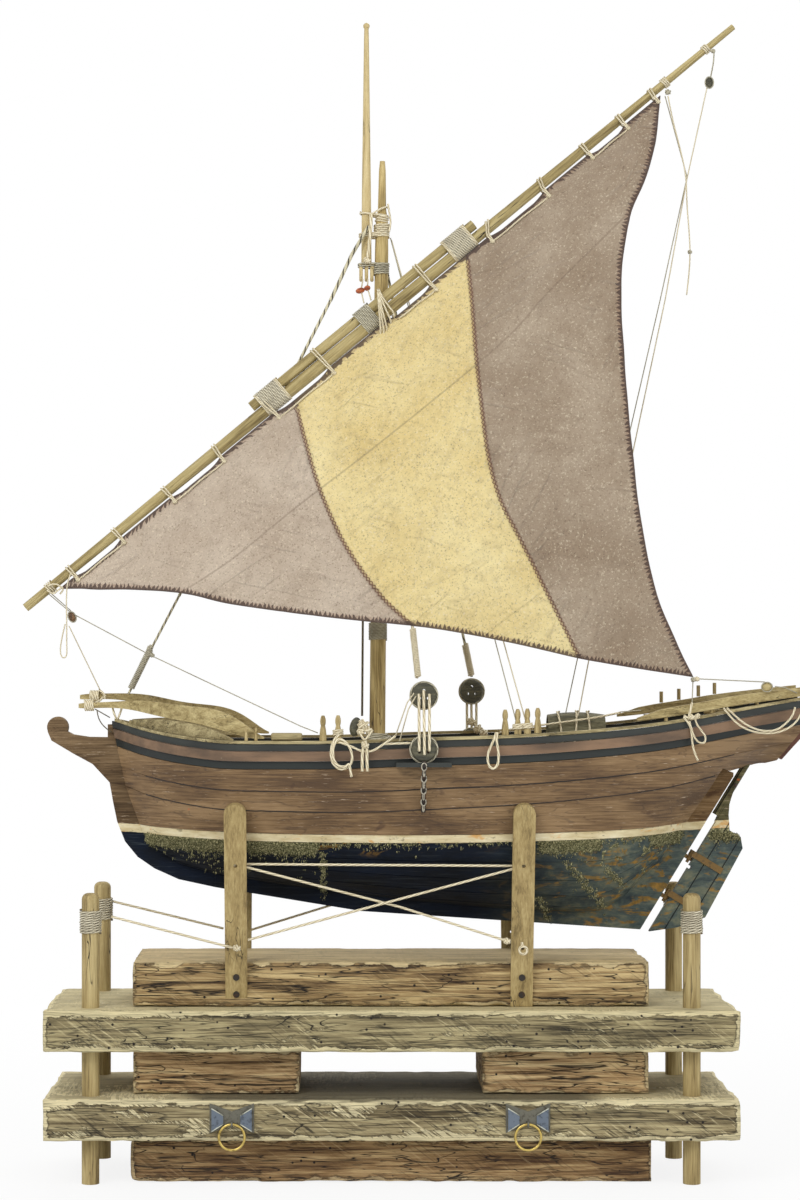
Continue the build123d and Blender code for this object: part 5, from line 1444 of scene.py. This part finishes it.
def running_lines():
    """Halyards, vangs, tack line and sheet, all pulled straight."""
    pale = [straight((1.4, 3, 651.5), (90, -73.6, 315.2)),
            straight((220.9, -14.5, 758), (206, -16, 690.8), (190.7, -18, 607.2), (136, -30, 354.2),
                     (129.4, -34, 321.2), (126.8, -37.2, 315.8)),
            straight((-223.2, -12, 380.6), (-203, 4, 336))]
    grey = [straight((0.7, 3, 652.9), (83.3, -74, 315.9)),
            straight((191, -14, 748.8), (206.2, -15, 692.3), (187.3, -18, 607.2), (128.8, -24, 355.8),
                     (121, -26, 320.4)),
            straight((-238.8, -13, 404.2), (-222.5, -12, 390.4)),
            straight((-237.4, -13, 404.9), (-221.8, -12, 391.1)),
            straight((-219, -12, 388.3), (-165.4, -34, 360.4), (-61.8, -76, 312.6), (-49.8, -77, 307.9)),
            straight((206.5, -49.5, 344.2), (255.2, -46, 341.9)),
            straight((262.4, -44, 338.8), (269.4, -43, 338.1), (277.9, -41.5, 334.3)),
            straight((154.7, -60, 321.7), (168.8, -61.5, 323)),
            straight((205.5, -50, 342.6), (203.5, -60, 327.8))]
    cordwork("running_lines_pale", [finer(line, 0.004) for line in pale], 0.85, "cord", 6)
    cordwork("running_lines_grey", [finer(line, 0.004) for line in grey], 0.75, "greycord", 6)


running_lines()


def small_block(name, place, radius, look, tall=1.25, turn=0.0):
    """The rounded body of a small block; returns the line of the strap that goes round it."""
    ball(name, place, radius, look, (1.0, 0.7, tall), turn)
    x, y, z = place
    strap = []
    for k in range(25):
        angle = 2 * math.pi * k / 24
        local = (math.cos(angle) * radius * 1.02, math.sin(angle) * radius * tall * 1.03)
        strap.append(Vector((x + local[0] * math.cos(turn) - local[1] * math.sin(turn), y - radius * 0.45,
                             z + local[0] * math.sin(turn) + local[1] * math.cos(turn))) * MM)
    return strap


straps = [small_block("tack_block", (-220.9, -12.5, 386.9), 2.6, "bead_dark", 1.45, 0.45),
          small_block("peak_block", (221.6, -14, 757.8), 2.9, "dark", 1.35),
          small_block("sheet_block", (256.3, -46, 338.5), 3.7, "beam", 0.85)]
cordwork("block_straps", straps, 0.8, "greycord", 6)


def yard_end_gear():
    """Turns, strops and knots at the ends of the yard and at the clew."""
    lines = [yard_turns(22.5, 5.0, 1.3, 3, False, 1.0), yard_turns(612, 3.6, 1.2, 2.5, False, 2.0),
             yard_turns(575.5, 4.2, 1.3, 3, False, 3.0)]
    lines.append(route([(-237.3, -17, 408.3), (-232.4, -17, 410.4), (-228.3, -16.5, 407.6),
                        (-226.4, -15, 405.6), (-229.2, -14.5, 402.8)]))
    lines.append(route([(-238, -17, 405.5), (-233.8, -17, 402), (-230.4, -17, 405.5),
                        (-227, -15.5, 407.6)]))
    cordwork("yard_end_turns", lines, 1.25, "cord")
    grey = [route([(224.9, -15, 779.1), (224.8, -15.5, 774.8), (224.2, -15, 769.4), (222.6, -14, 761.3)])]
    cordwork("peak_strop", grey, 1.0, "greycord")
    lumps = hitches(((224.2, -15.5, 779.7), 1.1, (1, 0, 0.4), 1.2),
                    ((192.9, -16, 751.1), 1.4, (1, 0, 0.4), 1.6),
                    ((205.8, -50.5, 343.6), 1.3, (1, 0, 0.4), 1.3))
    cordwork("peak_knots", lumps, 1.2, "greycord")
    cordwork("clew_knot", knot((208.1, -51, 344), 1.3, size=1.2), 1.3, "cord")


yard_end_gear()

free_cord("tack_thread",
          [(-220.8, -18.5, 417.9), (-223.5, -20, 412.4), (-224.3, -20.5, 398.5), (-223.9, -20.5, 383.3),
           (-224, -20.5, 370.8), (-223.8, -20.5, 363.5), (-224.0, -20.5, 359.6), (-226.3, -20.6, 358.0),
           (-228.3, -20.7, 360.6), (-228.3, -20.7, 366.5), (-226.6, -20.7, 375.5), (-225.0, -20.7, 381.9)],
          0.9)
free_cord("peak_tail",
          [(192.7, -17, 748.1), (195.4, -17.5, 732.8), (201.3, -18, 710.5), (205.2, -18.3, 692.4),
           (205.6, -18.5, 672.3), (207.2, -18.6, 653.6), (207.9, -18.7, 639.7), (207.1, -18.7, 623.7),
           (205.4, -18.7, 609.9)],
          0.95)
cordwork("peak_tail_knot", knot((207.7, -18.8, 639.7), 1.1, size=1.2), 1.1, "greycord")


# Hull and stand fittings
def surface(*names):
    """A search tree over the faces of some of the model's pieces."""
    verts, faces = [], []
    for name in names:
        mesh = frame["nodes"][name].data
        base = len(verts)
        verts.extend(vertex.co.copy() for vertex in mesh.vertices)
        faces.extend([base + i for i in face.vertices] for face in mesh.polygons)
    return BVHTree.FromPolygons(verts, faces)


def slab(name, outline, half, look, body=BOAT):
    """A flat board cut to an outline in side view, with eased edges."""
    middle = (sum(p[0] for p in outline) / len(outline), sum(p[1] for p in outline) / len(outline))
    verts, faces = [], []
    count = len(outline)
    for side, inset in ((-half, 0.5), (-half + 0.5, 0), (half - 0.5, 0), (half, 0.5)):
        for x, z in outline:
            away = math.hypot(x - middle[0], z - middle[1])
            keep = max(0.0, 1 - inset / away)
            verts.append(((middle[0] + (x - middle[0]) * keep) * MM, side * MM,
                          (middle[1] + (z - middle[1]) * keep) * MM))
    for ring in range(3):
        for k in range(count):
            after = (k + 1) % count
            faces.append((ring * count + k, ring * count + after, (ring + 1) * count + after,
                          (ring + 1) * count + k))
    faces.append(tuple(range(count)))
    faces.append(tuple(reversed(range(3 * count, 4 * count))))
    piece(name, skin(name, verts, faces), look, body, False, ())


slab("deadwood",
     ((134, 178.5), (166, 171.5), (172, 180), (197, 222), (216, 254), (207, 254), (181, 213), (158, 194),
      (138, 185.5)),
     3.3, "bottom")
slab("rudder_head",
     ((227.4, 244), (231.5, 240), (237.6, 240), (237.0, 248), (237.6, 256), (239.6, 263), (242.6, 270.5),
      (240.4, 268.5), (234.4, 258.5)),
     2.6, "rudder", "rudder")
ball("rudder_head_knob", (241.6, -1.5, 269.8), 1.7, "iron", body="rudder")


def chain_links():
    """Small chain down the face of each chainplate."""
    plates = surface("chainplates")
    lines = []
    for x, side in ((DEADEYES[0][0], -1), (DEADEYES[1][0], 1)):
        for k in range(8):
            z = 285.6 - 4.0 * k
            hit = plates.ray_cast(Vector((x, side * 120, z)) * MM, Vector((0, -side, 0)))[0]
            if hit is None:
                continue
            wide = 1.7 if k % 2 == 0 else 0.5
            link = []
            for j in range(17):
                angle = j * math.pi / 8
                link.append(Vector((x + wide * math.cos(angle), hit.y / MM + side * 0.4,
                                    z + 2.5 * math.sin(angle))) * MM)
            lines.append(link)
    cordwork("chain_links", lines, 0.95, "link", 6, ())


chain_links()


# How far below the rail the two seams run, and where along the hull they are drawn
SEAM_DROPS = (33, 47)
SEAM_SPAN = (-168, 240, 4)


def topside_seams():
    """Dark caulking that stands a little proud in the two long seams of each side."""
    rails = surface("cap_rails")
    lines = []
    for side, node in ((-1, "topside_planks_port"), (1, "topside_planks_starboard")):
        planks = surface(node)
        for drop in SEAM_DROPS:
            line = []
            for x in range(*SEAM_SPAN):
                starts = [Vector((x, side * y, 400)) * MM for y in range(20, 92, 2)]
                tops = [rails.ray_cast(start, Vector((0, 0, -1)))[0] for start in starts]
                tops = [hit.z / MM for hit in tops if hit is not None]
                if not tops:
                    continue
                waver = 0.25 * noise.noise(Vector((x * 0.2, drop, side)))
                z = max(tops) - 2 - drop * (1 - 0.10 * abs(x) / 240) + waver
                starts = [Vector((x, side * 120, z + up)) * MM for up in (-0.9, 0.9)]
                hits = [planks.ray_cast(start, Vector((0, -side, 0)))[0] for start in starts]
                if None in hits or hits[0].y * side < 0 or hits[1].y * side < 0:
                    continue
                y = (hits[0].y + hits[1].y) / 2 / MM
                line.append(Vector((x, y - side * 0.2, z)) * MM)
            if len(line) > 4:
                lines.append(line)
    cordwork("topside_seams", lines, 1.15, "seam", 6, ())


topside_seams()


def plate_wings():
    """Folded leaves at both ends of each ring plate, with bright edges."""
    verts, faces, rims = [], [], []
    for x in RING_PLATES:
        for side in (-1, 1):
            outer, inner = x + side * 13.6, x + side * 5.8
            corners = ((outer, -68.6, 54.5), (outer, -68.6, 39.0), (inner, -66.9, 43.5),
                       (inner, -66.9, 49.5))
            base = len(verts)
            verts.extend(tuple(v * MM for v in corner) for corner in corners)
            verts.extend((cx * MM, (cy + 0.8) * MM, cz * MM) for cx, cy, cz in corners)
            faces.append((base, base + 1, base + 2, base + 3))
            faces.append((base + 7, base + 6, base + 5, base + 4))
            faces.extend((base + k, base + 4 + k, base + 4 + (k + 1) % 4, base + (k + 1) % 4)
                         for k in range(4))
            rims.append(straight(corners[0], corners[3]))
            rims.append(straight(corners[1], corners[2]))
    piece("plate_wings", skin("plate_wings", verts, faces), "wing", BOAT, False, ())
    cordwork("plate_wing_edges", rims, 0.8, "wing_edge", 6, ())


plate_wings()


def weed(name, tree, strokes, seed, body=BOAT, slot="bottom_paint"):
    """Tufts of dry weed: blades a millimetre or two long that stand out and hang down from the surface."""
    pick = random.Random(seed)
    verts, faces = [], []
    for (x0, z0), (x1, z1), spread, hang, count in strokes:
        for _ in range(count):
            share = pick.random()
            x = x0 + (x1 - x0) * share + pick.gauss(0, spread)
            z = z0 + (z1 - z0) * share - pick.expovariate(1 / hang)
            side = pick.choice((-1, 1))
            hit, normal = tree.ray_cast(Vector((x, side * 200, z)) * MM, Vector((0, -side, 0)))[:2]
            if hit is None or hit.y * side < 0:
                continue
            if normal.y * side < 0:
                normal = -normal
            along = normal.cross(Vector((0, 0, 1))).normalized()
            for _ in range(pick.randint(3, 5)):
                shift = along * pick.gauss(0, 0.7) + Vector((0, 0, pick.gauss(0, 0.5)))
                foot = hit + shift * MM - normal * 0.2 * MM
                long = pick.uniform(0.6, 2.1) * MM
                wide = pick.uniform(0.18, 0.42) * MM
                lean = along * pick.gauss(0, 0.35)
                tip = foot + normal * long * 0.55 + Vector((0, 0, -1)) * long * 0.8 + lean * long
                base = len(verts)
                upper = foot + Vector((0, 0, 1)) * wide + normal * wide
                verts.extend((foot - along * wide, foot + along * wide, upper, tip))
                faces.extend(((base, base + 1, base + 3), (base + 1, base + 2, base + 3),
                              (base + 2, base, base + 3)))
    piece(name, skin(name, verts, faces), "weed", body, False, ())


def stripe_foot(x):
    """Height of the lower edge of the cream stripe."""
    return 233.2 + 0.00012 * x * x


def along_stripe(low, high, hang, count):
    """A stroke of weed under the stripe between two places."""
    return ((low, stripe_foot(low)), (high, stripe_foot(high)), 0.6, hang, count)


weed("hull_weed",
     surface("bottom_planks_port", "bottom_planks_starboard", "waterline_strakes", "keel", "sternpost"),
     (along_stripe(-170, -142, 3.0, 420), along_stripe(-142, -113, 6.0, 640),
      along_stripe(-98, -50, 3.8, 700), along_stripe(-50, 24, 1.6, 260), along_stripe(28, 96, 1.0, 130),
      along_stripe(100, 142, 3.2, 460), along_stripe(144, 178, 1.4, 120), along_stripe(178, 202, 2.6, 260),
      ((-46.5, 228), (-46.5, 196), 1.3, 1.5, 220), ((119, 220.7), (153, 183.2), 1.6, 1.5, 300),
      ((145.6, 217.3), (161.2, 203), 1.4, 1.2, 160), ((102.6, 195.5), (111.5, 176), 1.3, 1.2, 120)),
     41)
weed("rudder_weed", surface("rudder"), (((226, 236.5), (244, 235.0), 0.5, 1.8, 330),), 43, "rudder",
     "rudder_paint")


# Over the bow
def bow_lashings():
    """Lashings of the two bow timbers and the ends that hang from them."""
    lines = [wound((-206.5, 7.3, 331.6), (1, -0.1, 0), (0, 0, 1), 2.9, 0, 6.5, 1.35, 5, 16, 0.15, 1.0),
             wound((-209.5, -6.8, 325.4), (1, 0.1, 0), (0, 0, 1), 2.7, 0, 6.5, 1.35, 5, 16, 0.15, 2.0)]
    lines.append(route([(-201, 4.5, 331), (-202, 0, 329), (-204.4, -4, 327.7), (-204.6, -10, 327)]))
    lines.append(route([(-203.8, 4.5, 336), (-198.8, 3, 333.2), (-199.5, 3, 329.7)]))
    lines.append(route([(-193.3, -8, 324.6), (-192.6, -8.5, 320.8), (-190.7, -7, 315.8),
                        (-190.1, -4, 314.4)]))
    lines.append(route([(-186.7, -8, 323.9), (-187.8, -8.5, 320.1), (-189.7, -7, 315.8),
                        (-190.8, -4, 314)]))
    lines.append(route([(-188.5, -6.5, 315.5), (-187.1, -6.5, 313.7)]))
    cordwork("bow_lashing", lines, 1.5, "cord", 8)
    cordwork("bow_stay", [straight((-205.4, -8.5, 322.8), (-195.3, -5, 316.8))], 0.8, "darkcord", 6)


bow_lashings()
cordwork("bow_line",
         [route([(-204.1, -8, 322.1), (-203.6, -8.4, 318.7), (-202.3, -8.4, 314.8), (-199.6, -8, 311),
                 (-195.6, -6.5, 307.5), (-194.2, -5, 306.7)])],
         0.8, "darkcord")


# Along the port rail
free_cord("pin_coil",
          [(-35.7, -82, 306.7), (-37.7, -83, 305.4), (-40.4, -84, 300.7), (-41.3, -84.3, 294),
           (-40, -84.5, 287.4), (-34.4, -84.5, 283), (-28, -84.3, 286), (-26.5, -84.2, 292),
           (-28.3, -84, 298.4), (-31.3, -83.4, 302), (-34.7, -82.8, 304.4), (-38, -83.6, 302.7),
           (-39.8, -84.6, 297.4), (-39.6, -85.2, 290.7), (-36.4, -85.8, 285.9), (-31.4, -86, 285.4),
           (-28.8, -86.2, 288.1), (-28.2, -86.3, 283.4), (-27.3, -86.3, 278.8)],
          1.7)
free_cord("rail_loop",
          [(69.5, -79, 307.9), (68.4, -82.5, 304.7), (66.2, -83.5, 300), (63.4, -83.8, 293.4),
           (64.1, -84, 286.3), (67.2, -84, 283.7), (70.4, -84, 286.3), (71.2, -83.8, 292.7),
           (70.1, -83.5, 300), (69.5, -82.7, 304.7), (70.5, -79.5, 307.9)],
          1.7)


def rail_cords():
    """Ropes, lines and knots along the port rail and at the foot of the mast."""
    lines = [route([(-36, -82.4, 302), (-31.7, -83, 300.7), (-26.6, -83.2, 298.7), (-21.3, -83.4, 296),
                    (-15, -83.4, 295.3), (-8.9, -83, 298.3), (2.1, -82, 306)]),
             route([(-5.6, -81.6, 300.6), (3.8, -81.8, 301), (12.5, -82.5, 301.3)]),
             route([(-22.3, -80.5, 310.6), (-21, -82, 306), (-18.6, -82.6, 303.3), (-16.3, -82.4, 305.3),
                    (-13.2, -80.5, 310)])]
    doubled = [route([(-18.3, -83, 302.7), (-19.3, -83.8, 299.4), (-20.1, -84.4, 294.7),
                      (-20.2, -84.6, 288.7), (-20.2, -84.8, 282.4)]),
               route([(-18, -83, 302.7), (-17.2, -83.8, 299.4), (-17, -84.4, 294.7), (-17, -84.6, 288.7),
                      (-16.7, -84.8, 282.4)])]
    cordwork("rail_rope", lines, 1.5, "cord", 8)
    cordwork("doubled_rope", doubled, 2.0, "cord", 8)
    thin = [straight((2.1, -82, 306), (9.7, -86, 328.1), (14.3, -88, 334.8)),
            straight((4.8, -82, 302.7), (10.7, -86, 324.1), (15.6, -88, 332.8))]
    cordwork("rail_thin_lines", thin, 0.85, "cord", 6)
    lumps = hitches(((-18.2, -84, 300), 2.0, (1, 0, 0.1), 1.1, 1.0),
                    ((-19.3, -80, 313.7), 2.2, (1, 0, 0.4), 2.4, 2.0),
                    ((-20.9, -79.8, 309.3), 1.8, (0.4, 0, 1), 1.8, 3.0),
                    ((-16.6, -79.8, 310.3), 1.8, (1, 0, 0), 1.9, 4.0))
    cordwork("rail_knots", lumps, 1.8, "cord", 8)
    ball("rail_block", (-24.6, -75.5, 311.9), 4.6, "dark", (0.85, 0.6, 1.45), -0.2)
    coil = [wound((-8.8, 0, 303.5), (0.1, 0, 1), (1, 0, 0), 6.0, 0, 5.5, 1.8, 3.5, 22, 0.3, 6.0),
            wound((-8.5, 0, 300.5), (-0.15, 0, 1), (1, 0, 0), 8.3, 0, 3.5, 1.8, 2.5, 26, 0.4, 7.0)]
    cordwork("mast_foot_coil", coil, 1.8, "greycord", 8)
    whip = [hoops((-8.2, 0, 377), 5.5, 12, 1.1, 11, 20, 0.1, 8.0)]
    cordwork("mast_whipping", whip, 1.1, "greycord", 6)
    cordwork("mast_side_line", [straight((-17.5, -5, 520), (-18.8, -8, 384), (-19.3, -9, 318))], 1.6,
             "darkcord", 7)
    back = hitches(((61.5, 70, 312.1), 2.0, (1, 0, 0.2), 2.2, 5.0),
                   ((65.7, 68, 307.1), 2.0, (0.5, 0, 1), 2.2, 6.0),
                   ((69.6, 60, 304.4), 1.8, (1, 0, 0.6), 2.0, 7.0))
    cordwork("far_rail_knots", back, 1.9, "cord", 8)


rail_cords()


def barrel_cords():
    """Turns round the barrel and the pins, and the line between them."""
    lines = [wound((117.6, -22, 308), (1, 0, 0.12), (0, 0, 1), 12.6, 0, 1.6, 1.3, 1.0, 40, 0.05, 1.0),
             wound((127.6, -22, 308), (1, 0, -0.10), (0, 0, 1), 13.1, 0, 1.6, 1.3, 1.0, 40, 0.05, 2.0),
             wound((137.2, -22, 308), (1, 0, 0.05), (0, 0, 1), 12.8, 0, 1.6, 1.3, 1.0, 40, 0.05, 3.0)]
    lines.append(route([(71.9, -73, 307.8), (78.2, -60, 309.5), (85.3, -45, 310.1), (105.7, -37.5, 312.7),
                        (126.4, -37, 315.4), (143.4, -38, 317.8), (154.7, -60, 321.3)]))
    cordwork("barrel_cords", lines, 1.4, "cord", 8)
    pins = [hoops((84.5, -73.9, 312), 2.5, 3.5, 1.3, 3, 14, 0.3, 1.0),
            hoops((91, -73.5, 312.5), 2.5, 3.5, 1.3, 3, 14, 0.3, 2.0),
            hoops((-36.3, -75.7, 308), 2.5, 4, 1.3, 3, 14, 0.3, 3.0)]
    cordwork("pin_turns", pins, 1.3, "cord", 7)


barrel_cords()


def stern_cords():
    """Turns and knots under the port quarter."""
    lines = [route([(203.5, -60, 327.8), (202.1, -62.5, 323.1), (201.1, -62.8, 319), (200.4, -60, 316.2)]),
             route([(197.9, -61, 319.3), (200.5, -62, 317.3), (204.6, -62, 318), (208.1, -61, 320)])]
    cordwork("stern_turns", lines, 1.6, "cord", 8)
    knots = hitches(((202.9, -62, 318.3), 1.5, (1, 0, 0.3), 1.4, 1.0),
                    ((207.1, -61, 319), 1.3, (0.2, 0, 1), 1.2, 2.0))
    cordwork("stern_knots", knots, 1.5, "cord", 8)


stern_cords()
free_cord("stern_tail",
          [(197.5, -61.5, 318.3), (200.8, -62.2, 314.6), (202.8, -62.6, 309.5), (203.1, -62.8, 302.1),
           (204.4, -63, 294.7), (207.1, -63, 288.9)],
          1.4)
free_cord("stern_loop",
          [(205.3, -61.8, 318.3), (205.6, -62.6, 314.3), (209.2, -63, 309.5), (212.6, -63.2, 304.8),
           (211.5, -63.2, 300.4), (207.4, -63.3, 301.1), (204.4, -63.4, 304.8), (202.7, -63.2, 310.2),
           (201.3, -62.4, 315.6)],
          1.3)
free_cord("stern_festoon_low",
          [(225.6, -55, 324.3), (230.3, -57.5, 317.6), (237.7, -57.5, 311.1), (248.1, -56.5, 307.4),
           (260.5, -55, 307), (271, -53.5, 310.7), (278.5, -51.5, 318.1), (280.6, -49, 324.2)],
          1.35)
free_cord("stern_festoon_high",
          [(228, -54.5, 324.3), (231.6, -57.8, 320.3), (239.7, -58.2, 313.2), (249.9, -57.5, 308.7),
           (261, -56, 308.7), (269.5, -54, 314.8), (274, -52, 320.8), (275, -50, 324.6)],
          1.35)


# On the stand
def stand_cords():
    """Lines between posts and dowels, the dowels' whippings, knots and a small ring."""
    lines = [straight((-106.7, -60, 218.7), (89.7, -60, 217.4)),
             straight((-106.6, -62, 218.9), (5.7, -62, 189.8), (80.1, -62, 166.1)),
             straight((89.5, -62, 217.5), (5.6, -64, 195.4), (-97.2, -62, 167.5)),
             straight((-100.7, 61, 161.4), (87.5, 61, 219.5)),
             straight((-190.8, -47.5, 181.9), (-106, -56, 161.1)),
             straight((-198.6, 47.5, 184.1), (-118.5, 55, 163.6))]
    cordwork("stand_cords", [finer(line, 0.004) for line in lines], 1.7, "cord", 7)
    whips = []
    for x in (-DOWEL_X, DOWEL_X):
        for y in (-DOWEL_Y, DOWEL_Y):
            whips.append(hoops((x, y, 178.5), 6.0, 16, 1.7, 9.5, 24, 0.35, x + y))
    cordwork("dowel_turns", whips, 1.55, "paletwine", 7, ("dowel_whippings",))
    knots = hitches(((-104.7, -60, 161.8), 1.8, (1, 0, 0.3), 1.3, 1.0),
                    ((78.1, -61, 166.7), 1.8, (1, 0, 0.3), 1.2, 2.0))
    ring = []
    for k in range(25):
        angle = k * math.pi / 12
        place = (87.6 + 2.6 * math.cos(angle), -81.6 + 0.5 * math.sin(3 * angle),
                 162.6 + 2.6 * math.sin(angle))
        ring.append(Vector(place) * MM)
    knots += [ring, straight((87.0, -81.5, 165), (86.8, -81.2, 168))]
    knots += hitches(((-106.6, -63, 218.9), 1.7, (0.3, 0, 1), 1.2, 3.0),
                     ((89.5, -63, 217.6), 1.7, (0.3, 0, 1), 1.2, 4.0))
    cordwork("stand_knots", knots, 1.7, "cord", 8)


stand_cords()
